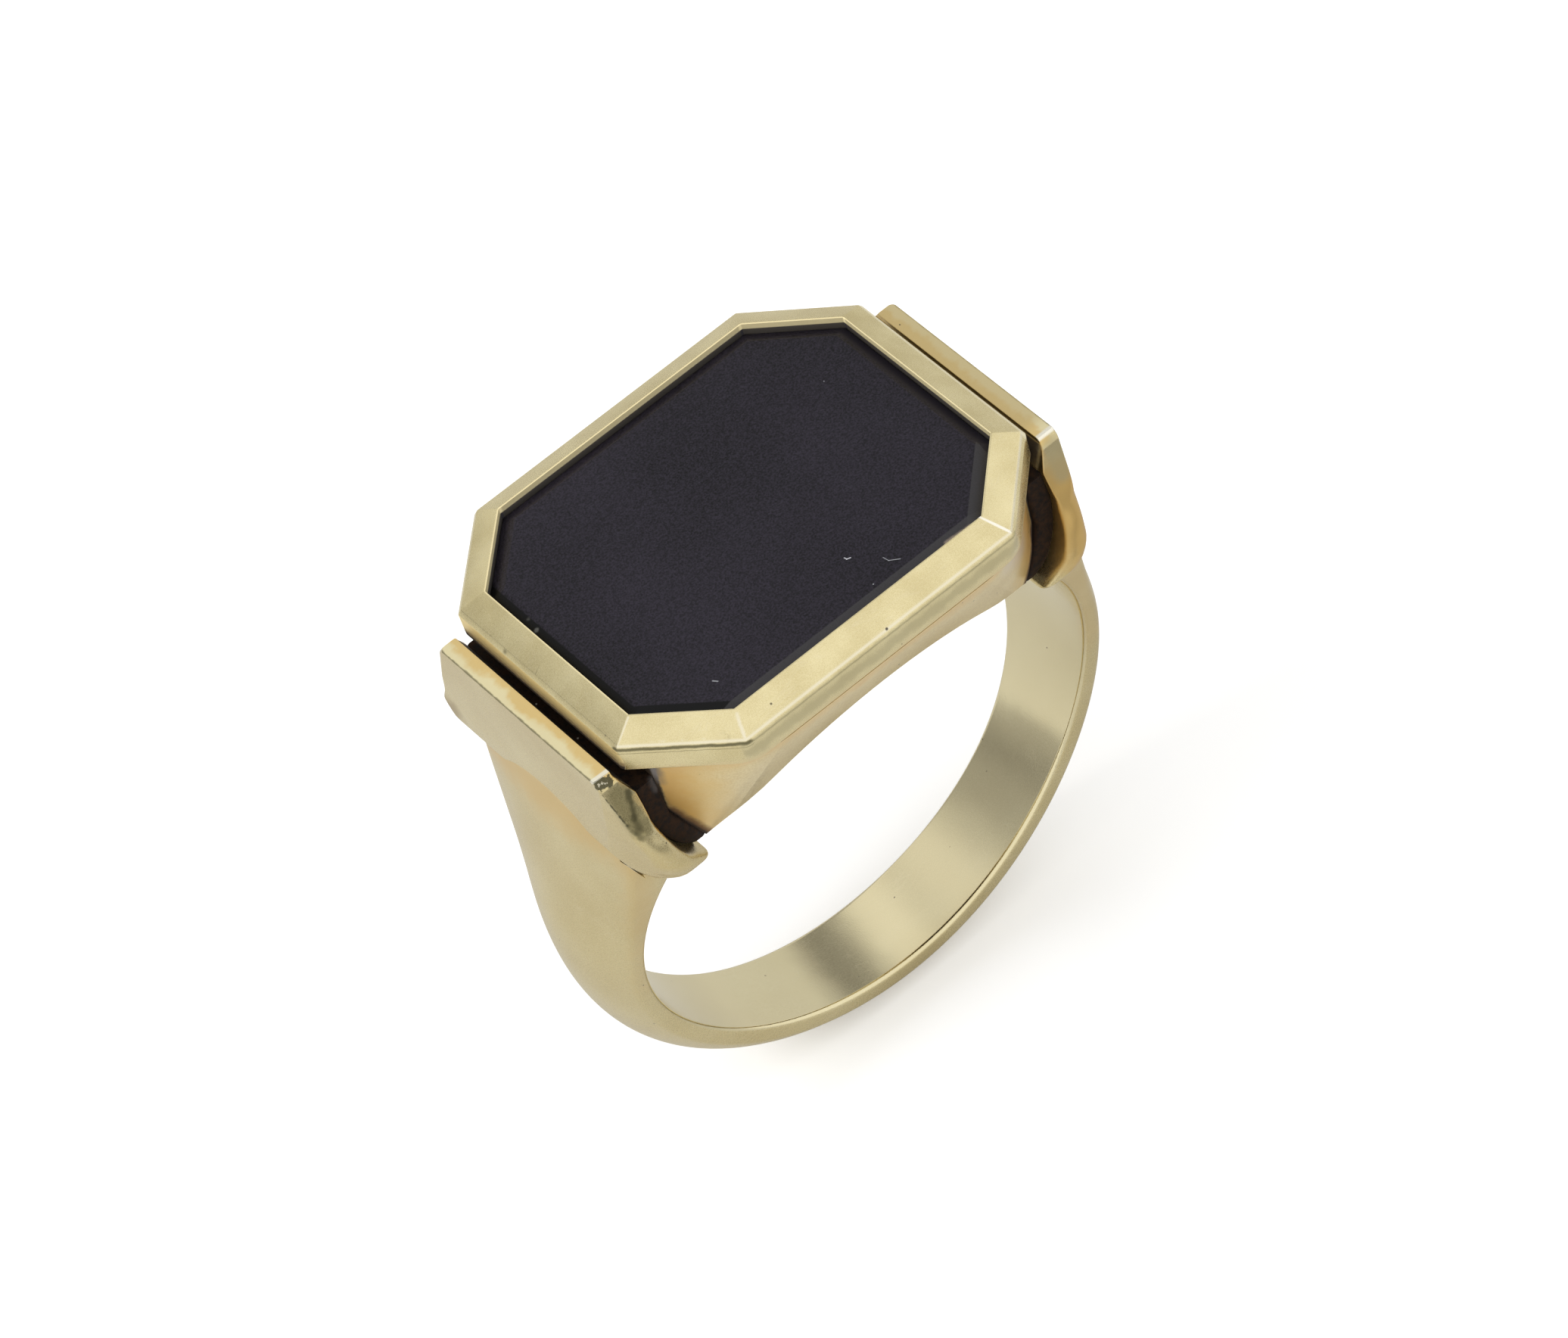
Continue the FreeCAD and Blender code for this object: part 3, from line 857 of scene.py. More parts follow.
@dataclass
class Piece:
    """What each piece of the ring shares: its name, its solid, its slot and its finish."""

    name: str
    node: str
    slot: Slot
    finish: Finish
    # The least angle between two faces, in degrees, that shows as a sharp edge.
    sharp: float = 30.0

    def shape(self) -> Optional[bpy.types.Object]:
        """Returns the piece's own mesh, or None where the solid itself shows."""
        return None

    def build(self) -> bpy.types.Object:
        """Builds the piece, dresses it and says what it rides on.

        Returns:
            The object that shows.
        """
        material = self.finish.build()
        own = self.shape()
        thing = frame["nodes"][self.node] if own is None else own
        thing.data.materials.clear()
        thing.data.materials.append(material)
        if own is not None:
            smooth(own, self.sharp)
            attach(own, "root")
            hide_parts(self.node)
        LOG.info("%s: %d faces, slot %s", thing.name, len(thing.data.polygons), self.slot.value)
        return thing


@dataclass
class Hoop(Piece):
    """The hoop: a D section swept round the finger and trimmed to the flanges' feet."""

    sharp: float = 35.0
    finger: float = 9.75
    crown: float = 1.53
    edge: float = 0.63
    widths: tuple[float, float, float] = (3.66, 5.12, 8.5)
    heights: tuple[float, float, float] = (-1.0, 0.0, 0.64)
    crown_flare: float = 11.3
    edge_flare: float = 6.9
    start: float = 47.0
    stations: int = 221
    arc_steps: int = 24
    corner_steps: int = 6
    inner_round: float = 0.2
    outer_round: float = 0.32
    crown_trim: float = 0.8
    heel_angle: float = 40.6
    seat_rise: float = 0.75
    seat_lead: Point = (0.3, 0.2)
    seat_step: float = 0.3
    seat_wall: float = 0.02
    seat_margin: float = 2.0
    seat_top: float = 12.0
    seat_half: float = 7.0

    def half_width(self, height: float) -> float:
        """Works out half the hoop's width at a height, by a parabola through the three given widths.

        Args:
            height: as a share of the radius, from -1 at the bottom to 1 at the top.

        Returns:
            Half the width.
        """
        total = 0.0
        for index, width in enumerate(self.widths):
            weight = 1.0
            for other, place in enumerate(self.heights):
                if other != index:
                    weight *= (height - place) / (self.heights[index] - place)
            total += width * weight
        return total / 2

    def reach(self, thickness: float, flare: float, direction: float) -> float:
        """Returns the radius in a direction, round up to the flare angle and straight from there."""
        rise = direction if direction > -90 else -180 - direction
        return (self.finger + thickness) / math.cos(math.radians(max(0.0, rise - flare)))

    def section(self, direction: float) -> list[Vector]:
        """Returns the hoop's section in a direction.

        Args:
            direction: in degrees from +X towards +Z.

        Returns:
            The section's points.
        """
        half = self.half_width(math.sin(math.radians(direction)))
        edge = self.reach(self.edge, self.edge_flare, direction)
        crown = self.reach(self.crown, self.crown_flare, direction)
        rise = crown - edge
        bow = (half * half + rise * rise) / (2 * rise)
        limit = math.asin((half - self.outer_round * self.crown_trim) / bow)
        corners = [(-half, self.finger, self.inner_round), (half, self.finger, self.inner_round)]
        corners.append((half, edge, self.outer_round))
        for number in range(self.arc_steps + 1):
            turn = limit * (1 - 2 * number / self.arc_steps)
            corners.append((bow * math.sin(turn), crown - bow + bow * math.cos(turn), 0.0))
        corners.append((-half, edge, self.outer_round))
        outline = rounded(corners, self.corner_steps)
        angle = math.radians(direction)
        return [Vector((r * math.cos(angle), y, r * math.sin(angle))) for y, r in outline]

    def shape(self) -> bpy.types.Object:
        """Sweeps the section and cuts the two seats.

        Returns:
            The new object.
        """
        span = 180 + 2 * self.start
        loops = [self.section(self.start - span * n / (self.stations - 1)) for n in range(self.stations)]
        hoop = skin(self.name, loops, closed=False)
        for side in (1, -1):
            cutter = self.seat_block(side)
            cut = hoop.modifiers.new("seat", "BOOLEAN")
            cut.operation = "DIFFERENCE"
            cut.solver = "EXACT"
            cut.object = cutter
            settle(hoop)
            bpy.data.objects.remove(cutter)
        return hoop

    def seat_block(self, side: int) -> bpy.types.Object:
        """Builds the block that trims one end of the hoop; past the heel the end runs up into the flange.

        Args:
            side: 1 for the right end, -1 for the left.

        Returns:
            The block.
        """
        heel = math.radians(self.heel_angle)
        x = self.finger * math.cos(heel)
        z = self.finger * math.sin(heel)
        slope = math.tan(math.radians(Flange.slope))
        lead, lift = self.seat_lead
        back = x - self.seat_margin
        wall = Flange.outer - self.seat_wall
        rise = z + (Flange.outer - x) * slope + self.seat_rise
        outline = [
            (back, z - self.seat_margin * slope),
            (x, z),
            (x + lead, z + lead * slope + lift),
            (Flange.outer - self.seat_step, rise),
            (wall, rise),
            (wall, self.seat_top),
            (back, self.seat_top),
        ]
        sides = (-self.seat_half, self.seat_half)
        loops = [[Vector((side * a, y, b)) for a, b in outline] for y in sides]
        return skin("seat_block", loops, closed=False)


@dataclass
class Flange(Piece):
    """An upright flange: a bent plate with a small facet at each end of its top and a round foot."""

    side: int = 1
    heel: Point = (7.403, 6.345)
    tip: Point = (7.222, 6.550)
    outer: float = 9.84
    top: float = 11.87
    inner: float = 9.16
    lip: float = 11.72
    neck: float = 8.75
    neck_levels: Point = (9.67, 10.82)
    cove: float = 5.0
    # How round the profile is at the top's outer and inner edges, at the neck and at the lip.
    profile_rounds: tuple[float, ...] = (0.05, 0.04, 0.2, 0.1)
    # Half widths by height, each with the radius that rounds the outline there.
    halves: tuple[Place, ...] = (
        (4.2, 11.87, 0.0),
        (4.46, 11.53, 0.05),
        (5.04, 9.84, 3.0),
        (5.55, 7.495, 0.0),
    )
    foot_round: float = 1.1
    foot_edge: float = 0.35
    arc_steps: int = 12
    levels: int = 70
    level_gap: float = 0.008
    closing_loops: int = 8
    near_puff: float = 0.28
    near_sag: float = 0.36
    sag_top: float = 9.0
    sag_near: Point = (3.4, 5.0)
    sag_out: Point = (7.5, 8.7)
    slope: float = 21.5
    slope_levels: Point = (6.9, 9.4)
    bevel: float = 15.6
    bevel_top: Point = (4.4, 11.87)
    bevel_foot: Point = (3.2, 5.345)
    corner_top: float = 0.07
    corner_foot: float = 1.35
    corner_levels: Point = (8.2, 10.4)
    inner_round: float = 0.06
    far_round: float = 0.2
    kink_round: float = 0.3
    near_rounds: Point = (0.05, 0.45)
    least_width: float = 0.01
    least_bevel: float = 0.05
    edge_gaps: Point = (0.005, 0.004)

    def profile(self) -> tuple[list[Point], list[Point]]:
        """Draws the profile.

        Returns:
            Its outer edge and its inner edge, each from the heel to the top.
        """
        low, high = Vector(self.tip), Vector((self.neck, self.neck_levels[0]))
        chord = high - low
        across = Vector((chord.y, -chord.x)).normalized()
        centre = (low + high) / 2 - across * math.sqrt(self.cove**2 - chord.length**2 / 4)
        cove = swing(centre, low - centre, high - centre, self.arc_steps)[1:-1]
        top_outer, top_inner, neck, lip = self.profile_rounds
        outer = [
            (*self.heel, 0.0),
            (self.outer, self.heel[1], 0.0),
            (self.outer, self.top, top_outer),
            (self.inner, self.top, top_inner),
        ]
        inner = [
            (*self.tip, 0.0),
            *((x, z, 0.0) for x, z in cove),
            (self.neck, self.neck_levels[0], 0.0),
            (self.neck, self.neck_levels[1], neck),
            (self.inner, self.lip, lip),
        ]
        made = rounded(outer + inner[::-1], 5)
        peak = max(range(len(made)), key=lambda index: (made[index][1], made[index][0]))
        return made[: peak + 1], [made[0]] + made[:peak:-1]

    def outline(self) -> list[Point]:
        """Draws the flange's outline as it is seen from its side of the ring.

        Returns:
            The half width by height, from the heel to the top.
        """
        points = [(0.0, self.top, 0.0), *self.halves, (0.0, self.halves[-1][1], 0.0)]
        edge = rounded(points, 6)[1:-1]
        half, level = self.halves[-1][:2]
        drop = level - self.heel[1]
        foot = []
        for number in range(1, self.arc_steps + 1):
            turn = math.pi / 2 * number / self.arc_steps
            foot.append((half - self.foot_round * (1 - math.cos(turn)), level - drop * math.sin(turn)))
        return (edge + foot)[::-1]

    @staticmethod
    def at(points: Sequence[Point], height: float) -> float:
        """Reads an edge at a height.

        Args:
            points: the edge's points, from the lowest up.
            height: the height.

        Returns:
            How far out the edge stands there.
        """
        for (x0, z0), (x1, z1) in zip(points, points[1:]):
            if height <= z1:
                share = (height - z0) / (z1 - z0) if z1 - z0 > 1e-9 else 1.0
                return x0 + (x1 - x0) * max(0.0, min(1.0, share))
        return points[-1][0]

    def section(self, level: float, edges: tuple[list[Point], ...], share: float = 1.0) -> list[Vector]:
        """Returns the flange's section at a level; low sections tilt with the foot's underside.

        Args:
            level: the height at the heel.
            edges: the outer edge, the inner edge and the half widths.
            share: the section's size, less than 1 for the loops that close the underside.

        Returns:
            The section's points.
        """
        tilt = math.tan(math.radians(self.slope)) * (1 - ease(level, *self.slope_levels))
        inner = self.heel[0]
        for _ in range(12):
            inner = self.at(edges[1], level + tilt * (inner - self.heel[0]))
        half = self.at(edges[2], level)
        rise = min(1.0, (level - self.heel[1]) / self.foot_edge)
        inset = self.foot_edge * (1 - math.sqrt(1 - (1 - rise) ** 2))
        outer = max(self.at(edges[0], level) - inset, inner + self.least_width)
        slope = math.tan(math.radians(self.bevel))
        climb = (level - self.bevel_foot[1]) / (self.bevel_top[1] - self.bevel_foot[1])
        start = self.bevel_foot[0] + climb * (self.bevel_top[0] - self.bevel_foot[0])
        low = 1 - ease(level, *self.corner_levels)
        near = half + self.near_puff * low
        kink = min(start + (self.outer - outer) / slope, near - self.least_bevel)
        edge_x = min(outer - self.edge_gaps[1], self.outer - (near - start) * slope)
        edge_x = max(inner + self.edge_gaps[0], edge_x)
        room = edge_x - inner
        corner = self.corner_top + low * (self.corner_foot - self.corner_top)
        near_top, near_gain = self.near_rounds
        # each radius is held to a share of the room that it has
        points = [
            (inner, half, min(self.inner_round, 0.15 * room)),
            (outer, half, min(self.far_round, 0.4 * (outer - inner))),
            (outer, -kink, min(self.kink_round, 0.3 * (near - kink))),
            (edge_x, -near, min(corner, 0.8 * room)),
            (inner, -near, min(near_top + near_gain * low, 0.35 * room)),
        ]
        made = []
        middle = (inner + outer) / 2
        sag = self.near_sag * (1 - ease(level, self.heel[1], self.sag_top))
        for place_x, place_y in rounded(points, 9):
            x = middle + (place_x - middle) * share
            y = place_y * share
            drop = sag * ease(-y, *self.sag_near) * ease(x, *self.sag_out)
            made.append(Vector((self.side * x, y, level + tilt * (x - self.heel[0]) - drop)))
        return made

    def shape(self) -> bpy.types.Object:
        """Skins the sections from the heel to the top.

        Returns:
            The new object.
        """
        edges = (*self.profile(), self.outline())
        levels = {z for edge in edges for _, z in edge}
        rise = self.top - self.heel[1]
        levels |= {self.heel[1] + rise * number / self.levels for number in range(self.levels + 1)}
        heights: list[float] = []
        for level in sorted(levels):
            if not heights or level - heights[-1] > self.level_gap:
                heights.append(level)
        shares = [number / self.closing_loops for number in range(1, self.closing_loops)]
        loops = [self.section(heights[0], edges, share) for share in shares]
        loops += [self.section(height, edges) for height in heights]
        return skin(self.name, loops, closed=False)


@dataclass
class Underbody(Piece):
    """The head's underbody: its solid, with rounded edges and its four toes drawn in."""

    sharp: float = 32.0
    rounding: float = 0.22
    rounded_from: float = 18.0
    toe_pull: float = 0.42
    toe_reach: Point = (4.6, 7.6)
    toe_levels: Point = (7.2, 10.2)
    toe_sides: Point = (3.5, 5.0)

    def shape(self) -> bpy.types.Object:
        """Copies the solid, draws in its toes and rounds its edges.

        Returns:
            The new object.
        """
        thing = solid_copy(self.node, self.name)
        for vertex in thing.data.vertices:
            x, y, z = (axis / MM for axis in vertex.co)
            share = ease(abs(x), *self.toe_reach) * (1 - ease(z, *self.toe_levels))
            share *= ease(abs(y), *self.toe_sides)
            vertex.co.y = (y - math.copysign(self.toe_pull * share, y)) * MM
        soften(thing, self.rounding, self.rounded_from)
        return thing


@dataclass
class Solder(Piece):
    """Solder that fills one slit, from the head's end to the flange; its near-black dirty finish also stands
    in for the slit's shade.
    """

    sharp: float = 40.0
    side: int = 1
    head_end: float = 7.97
    knee: float = 9.0
    foot: Point = (6.966, 6.82)
    top: float = 10.74
    overlap: float = 0.04
    # Half widths by height.
    halves: tuple[Point, ...] = ((4.7, 6.82), (4.9, 7.4), (4.9, 8.4), (4.78, 9.6), (4.6, 10.74))
    end_round: float = 0.18
    steps: int = 24

    def shape(self) -> bpy.types.Object:
        """Skins horizontal sections from the foot to the top.

        Returns:
            The new object.
        """
        wall = Flange(self.name, self.node, self.slot, self.finish).profile()[1]
        loops = []
        for number in range(self.steps + 1):
            level = self.foot[1] + (self.top - self.foot[1]) * number / self.steps
            share = min(1.0, (level - self.foot[1]) / (self.knee - self.foot[1]))
            inner = self.foot[0] + share * (self.head_end - self.foot[0]) - self.overlap
            outer = Flange.at(wall, level) + self.overlap
            half = Flange.at(self.halves, level)
            corner = min(self.end_round, 0.35 * (outer - inner))
            corners = ((inner, half), (outer, half), (outer, -half), (inner, -half))
            outline = rounded([(x, y, corner) for x, y in corners], 5)
            loops.append([Vector((self.side * x, y, level)) for x, y in outline])
        return skin(self.name, loops, closed=False)


@dataclass
class Octagon(Piece):
    """A piece whose plan is the head's octagon, drawn in by an inset."""

    length: float = 17.5
    width: float = 14.74
    cut: float = 3.07
    corner_steps: int = 8
    side_steps: int = 10

    def corners(self, inset: float) -> list[Point]:
        """Places the octagon's corners.

        Args:
            inset: how far it is drawn in.

        Returns:
            The corners, anticlockwise from the right end.
        """
        end = self.length / 2 - inset
        side = self.width / 2 - inset
        cut = self.cut - (2 - math.sqrt(2)) * inset
        quarter = [(end, side - cut), (end - cut, side)]
        points = list(quarter)
        points += [(-x, y) for x, y in reversed(quarter)]
        points += [(-x, -y) for x, y in quarter]
        points += [(x, -y) for x, y in reversed(quarter)]
        return points

    def loop(self, inset: float, height: float, long_round: float, end_round: float) -> list[Vector]:
        """Returns one loop round the octagon.

        Args:
            inset: how far it is drawn in.
            height: its height.
            long_round: the corner radius at the ends of the long sides.
            end_round: the corner radius at the ends of the short sides.

        Returns:
            The loop's points.
        """
        radii = [end_round, long_round, long_round, end_round] * 2
        outline = rounded([(x, y, r) for (x, y), r in zip(self.corners(inset), radii)], self.corner_steps)
        size = self.corner_steps + 1
        made: list[Vector] = []
        for corner in range(8):
            arc = outline[corner * size : (corner + 1) * size]
            made += [Vector((x, y, height)) for x, y in arc]
            first, last = Vector(arc[-1]), Vector(outline[(corner + 1) * size % len(outline)])
            for step in range(1, self.side_steps):
                place = first.lerp(last, step / self.side_steps)
                made.append(Vector((place.x, place.y, height)))
        return made


@dataclass
class Tablet(Octagon):
    """The black tablet: an octagonal plate with a low sloping edge."""

    sharp: float = 12.0
    wall: float = 1.06
    bottom: float = 11.68
    girdle: float = 12.72
    top: float = 12.95
    bevel: float = 0.52
    rounding: float = 0.03
    corner_round: float = 0.04
    cap_inset: float = 1.0

    def shape(self) -> bpy.types.Object:
        """Skins the tablet's edge and caps it.

        Returns:
            The new object.
        """
        inside = self.wall + self.bevel
        middle = inside + self.cap_inset
        profile = [
            (middle, self.bottom, 0.0),
            (self.wall, self.bottom, 0.0),
            (self.wall, self.girdle, self.rounding),
            (inside, self.top, self.rounding),
            (middle, self.top, 0.0),
        ]
        corner = self.corner_round
        loops = [self.loop(inset, height, corner, corner) for inset, height in rounded(profile, 3)]
        return skin(self.name, loops, closed=False)


@dataclass
class Rim(Octagon):
    """The octagonal rim: upright sides, the sloping bezel and the window for the stone."""

    sharp: float = 40.0
    bottom: float = 11.6
    shoulder: float = 12.7
    ridge: float = 13.2
    window: float = 1.03
    land: float = 0.06
    edge_break: float = 0.13
    # How round the profile is at the window's edge, the ridge, the edge break and the foot.
    profile_rounds: tuple[float, ...] = (0.015, 0.02, 0.05, 0.06)
    window_round: float = 0.05
    corner_round: float = 0.10
    long_gain: float = 1.5
    end_gain: float = 0.3

    def shape(self) -> bpy.types.Object:
        """Skins the rim's profile round the octagon.

        Returns:
            The new object.
        """
        slope = (self.ridge - self.shoulder) / (self.window - self.land)
        run = self.edge_break
        window, ridge, edge, foot = self.profile_rounds
        profile = [
            (self.window, self.bottom, 0.0),
            (self.window, self.ridge, window),
            (self.window - self.land, self.ridge, ridge),
            (run, self.shoulder + run * slope, edge),
            (0.0, self.shoulder - run, edge),
            (0.0, self.bottom, foot),
        ]
        loops = []
        for inset, height in rounded(profile, 4):
            drop = max(0.0, min(1.0, (self.shoulder - height) / (self.shoulder - self.bottom)))
            outside = inset < self.window - self.land * 0.9
            long_round = self.corner_round + self.long_gain * drop if outside else self.window_round
            end_round = self.corner_round + self.end_gain * drop if outside else self.window_round
            loops.append(self.loop(inset, height, long_round, end_round))
        return skin(self.name, loops, closed=True)


# ---------------------------------------------------------------- stage, light and camera


@dataclass
class Stage:
    """The pale floor that the ring stands on."""

    size: float = 900.0
    height: float = -(Hoop.finger + Hoop.crown)
    # Its greys where the ring mirrors it, close by and in front, and the two that the camera sees.
    glow: float = 0.70
    gloom: float = 0.15
    front_dark: Point = (60.0, 95.0)
    pale: Point = (0.95, 0.97)
    lift: float = 0.22

    def build(self) -> bpy.types.Object:
        """Builds the floor.

        Returns:
            The floor.
        """
        half = self.size / 2
        mesh = bmesh.new()
        corners = ((-half, -half), (half, -half), (half, half), (-half, half))
        mesh.faces.new([mesh.verts.new(Vector((x, y, self.height)) * MM) for x, y in corners])
        floor = finish_mesh("floor", mesh)
        material, graph, shader = new_material("pale_floor")
        seen = graph.add("LightPath", {}).outputs["Is Camera Ray"]
        place = graph.place()
        front = graph.add("SeparateXYZ", {0: place}).outputs[1]
        far = graph.step(graph.times(front, -1.0), *self.front_dark)
        lit = graph.blend(far, grey(self.glow), grey(self.gloom))
        cloud = Effects.use(graph, "fine_grain", {"Scale": 0.5, "Wave": 0.01}, "Wave")
        pale = graph.blend(cloud, *(grey(level) for level in self.pale))
        graph.feed(shader.inputs["Base Color"], graph.blend(seen, lit, pale))
        shader.inputs["Emission Color"].default_value = grey(1.0)
        graph.feed(shader.inputs["Emission Strength"], graph.times(seen, self.lift))
        shader.inputs["Roughness"].default_value = 0.9
        shader.inputs["Specular IOR Level"].default_value = 0.0
        floor.data.materials.append(material)
        return floor


@dataclass
class Studio:
    """Soft studio light: a pale surround with darker gaps at the back, and one soft box."""

    surround: float = 0.98
    ends: Point = (0.15, 0.45)
    # Light from the back, by its angle in degrees from +X over the top to -X.
    back_levels: tuple[Point, ...] = (
        (0, 0.70), (8, 0.70), (21, 0.67), (32, 0.72), (44, 0.24), (56, 0.31), (68, 0.90), (80, 0.93),
        (91, 0.75), (103, 0.85), (114, 0.84), (126, 0.60), (138, 0.42), (150, 0.40), (162, 0.29), (173, 0.43),
    )
    # The soft box, a square lamp that points at the ring: its place, side and power in watts.
    box_place: Place = (-200, 20, 180)
    box_size: float = 120.0
    box_power: float = 0.25

    def build(self) -> None:
        """Sets the world and the lamp."""
        world = bpy.data.worlds.new("surround")
        bpy.context.scene.world = world
        world.use_nodes = True
        world.node_tree.nodes.clear()
        graph = Graph(world.node_tree)
        direction = graph.add("TexCoord", {}).outputs["Generated"]
        across, along, rise = graph.add("SeparateXYZ", {0: direction}).outputs
        angle = graph.math("ARCTAN2", graph.math("MAXIMUM", rise, 0.0), across)
        ramp = graph.add("ValToRGB", {0: graph.math("DIVIDE", angle, math.pi)})
        stops = ramp.color_ramp.elements
        for angle_at, level in self.back_levels[1:-1]:
            stops.new(angle_at / 180).color = grey(level)
        for index in (0, -1):
            angle_at, level = self.back_levels[index]
            stops[index].position = angle_at / 180
            stops[index].color = grey(level)
        back = graph.step(along, *self.ends)
        plain = graph.times(graph.minus(1.0, back), self.surround)
        level = graph.plus(plain, graph.times(ramp.outputs[0], back))
        seen = graph.add("LightPath", {}).outputs["Is Camera Ray"]
        strength = graph.math("MAXIMUM", level, seen)
        surface = graph.add("Background", {"Color": grey(1.0), "Strength": strength})
        graph.add("OutputWorld", {"Surface": surface.outputs[0]})
        self.add_soft_box()

    def add_soft_box(self) -> None:
        """Adds the lamp."""
        data = bpy.data.lights.new("key", "AREA")
        data.size = self.box_size * MM
        data.energy = self.box_power
        lamp = bpy.data.objects.new("key", data)
        bpy.context.scene.collection.objects.link(lamp)
        lamp.location = Vector(self.box_place) * MM
        lamp.rotation_euler = Vector(self.box_place).to_track_quat("Z", "Y").to_euler()
        lamp.visible_glossy = False


@dataclass
class Viewpoint:
    """The camera: a long lens from the near left and above, tipped to one side."""

    azimuth: float = -24.5753
    elevation: float = 49.0590
    roll: float = -18.9162
    distance: float = 253.9875
    aim: Place = (0.8404, 2.3702, 2.1730)
    lens: float = 171.6121
    sensor: float = 36.0

    def build(self) -> bpy.types.Object:
        """Builds the camera and makes it the scene's own.

        Returns:
            The camera.
        """
        turn, rise, tip = (math.radians(a) for a in (self.azimuth, self.elevation, self.roll))
        back = Vector((math.sin(turn) * math.cos(rise), -math.cos(turn) * math.cos(rise), math.sin(rise)))
        level = Vector((math.cos(turn), math.sin(turn), 0.0))
        over = back.cross(level)
        right = level * math.cos(tip) + over * math.sin(tip)
        up = back.cross(right)
        data = bpy.data.cameras.new("camera")
        data.lens = self.lens
        data.sensor_fit = "HORIZONTAL"
        data.sensor_width = self.sensor
        data.clip_start = 0.01
        data.clip_end = 10.0
        camera = bpy.data.objects.new("camera", data)
        bpy.context.scene.collection.objects.link(camera)
        pose = Matrix((right, up, back)).transposed().to_4x4()
        pose.translation = (Vector(self.aim) + back * self.distance) * MM
        camera.matrix_world = pose
        bpy.context.scene.camera = camera
        return camera


# ---------------------------------------------------------------- the whole


def bar(x: float, z: float, width: float, soft: float) -> Stroke:
    """Returns the zone round a line along the finger hole that passes the ring on both sides."""
    return Stroke((x, -9, z), (x, 9, z), width, soft)


def shank_finish() -> GoldFinish:
    """Describes the hoop's finish: polished inside and painted paler there for its bright reflection, with
    warm toning under the flanges.

    Returns:
        The finish.
    """
    bore = bar(0, 0, 9.84, 0.03)
    return GoldFinish(
        "gold_shank",
        colour=rgb(0.76, 0.66, 0.39),
        shade=rgb(0.64, 0.53, 0.28),
        wave_depth=0.03,
        dirt_cover=0.3,
        marks=(
            # the bore: polished, and painted paler for its bright reflection
            patch(rgb(0.92, 0.84, 0.57), 0.5, bore, dull=-0.12),
            patch(WARM, 0.5, past(OUT, 9.0), Layer(UP, 6.9, 8.9, 0.9, 0.35, 1.0), dull=0.06),
            patch(WARM, 0.3, Stroke((-9.5, -4.3, 6.5), (-9.8, -3.2, -0.6), 0.7, 0.6, 0.3, 1.0), dull=0.05),
            patch(WARM, 0.25, Stroke((9.5, -4.3, 6.5), (9.8, -3.2, -0.6), 0.9, 0.6, 0.2), dull=0.05),
        ),
    )


def flange_finish(name: str, marks: tuple[Mark, ...]) -> GoldFinish:
    """Returns a flange's finish: golden with a painted paler top, toned beside the slit, and black inside it
    with dirt and painted shade.

    Args:
        name: the material's name.
        marks: what only this flange has.

    Returns:
        The finish.
    """
    shared = (
        # the top: painted paler for its bright reflection, with toning towards the slit
        patch(rgb(1.0, 0.90, 0.56), 0.85, past(UP, 11.84, 0.03), dull=0.05),
        patch(
            rgb(0.82, 0.54, 0.15), 0.6,
            past(UP, 11.6, 0.1),
            Layer(OUT, 8.0, 9.5, 0.14, 0.28, 0.8),
            dull=0.05,
        ),
        # the dark line along the top's outer edge
        patch(OLIVE_REFLECTION_AND_SCUFF, 0.62, past((0.707, 0, 0.707), 15.31, 0.02, 0.02, 3.0), dull=0.1),
        # the inner face, the cove and the foot's underside, but for the near edge: toned, then black with
        # dirt and painted shade in the slit
        patch(WARM, 0.7, before((0.35, 0, -0.94), -7.45, 0.3), before(OUT, 9.13, 0.03), dull=0.1),
        patch(
            SOOT_AND_SHADE, 0.97,
            before(OUT, 9.14, 0.02),
            Layer(FAR, -4.35, 4.45, 0.15, 0.05, 3.0),
            past((-0.3665, 0, 0.9304), 3.36, 0.05),
            dull=0.4, metal=0.1,
        ),
    )
    return GoldFinish(name, colour=rgb(0.76, 0.66, 0.38), toning=0.2, dirt_cover=0.3, marks=shared + marks)


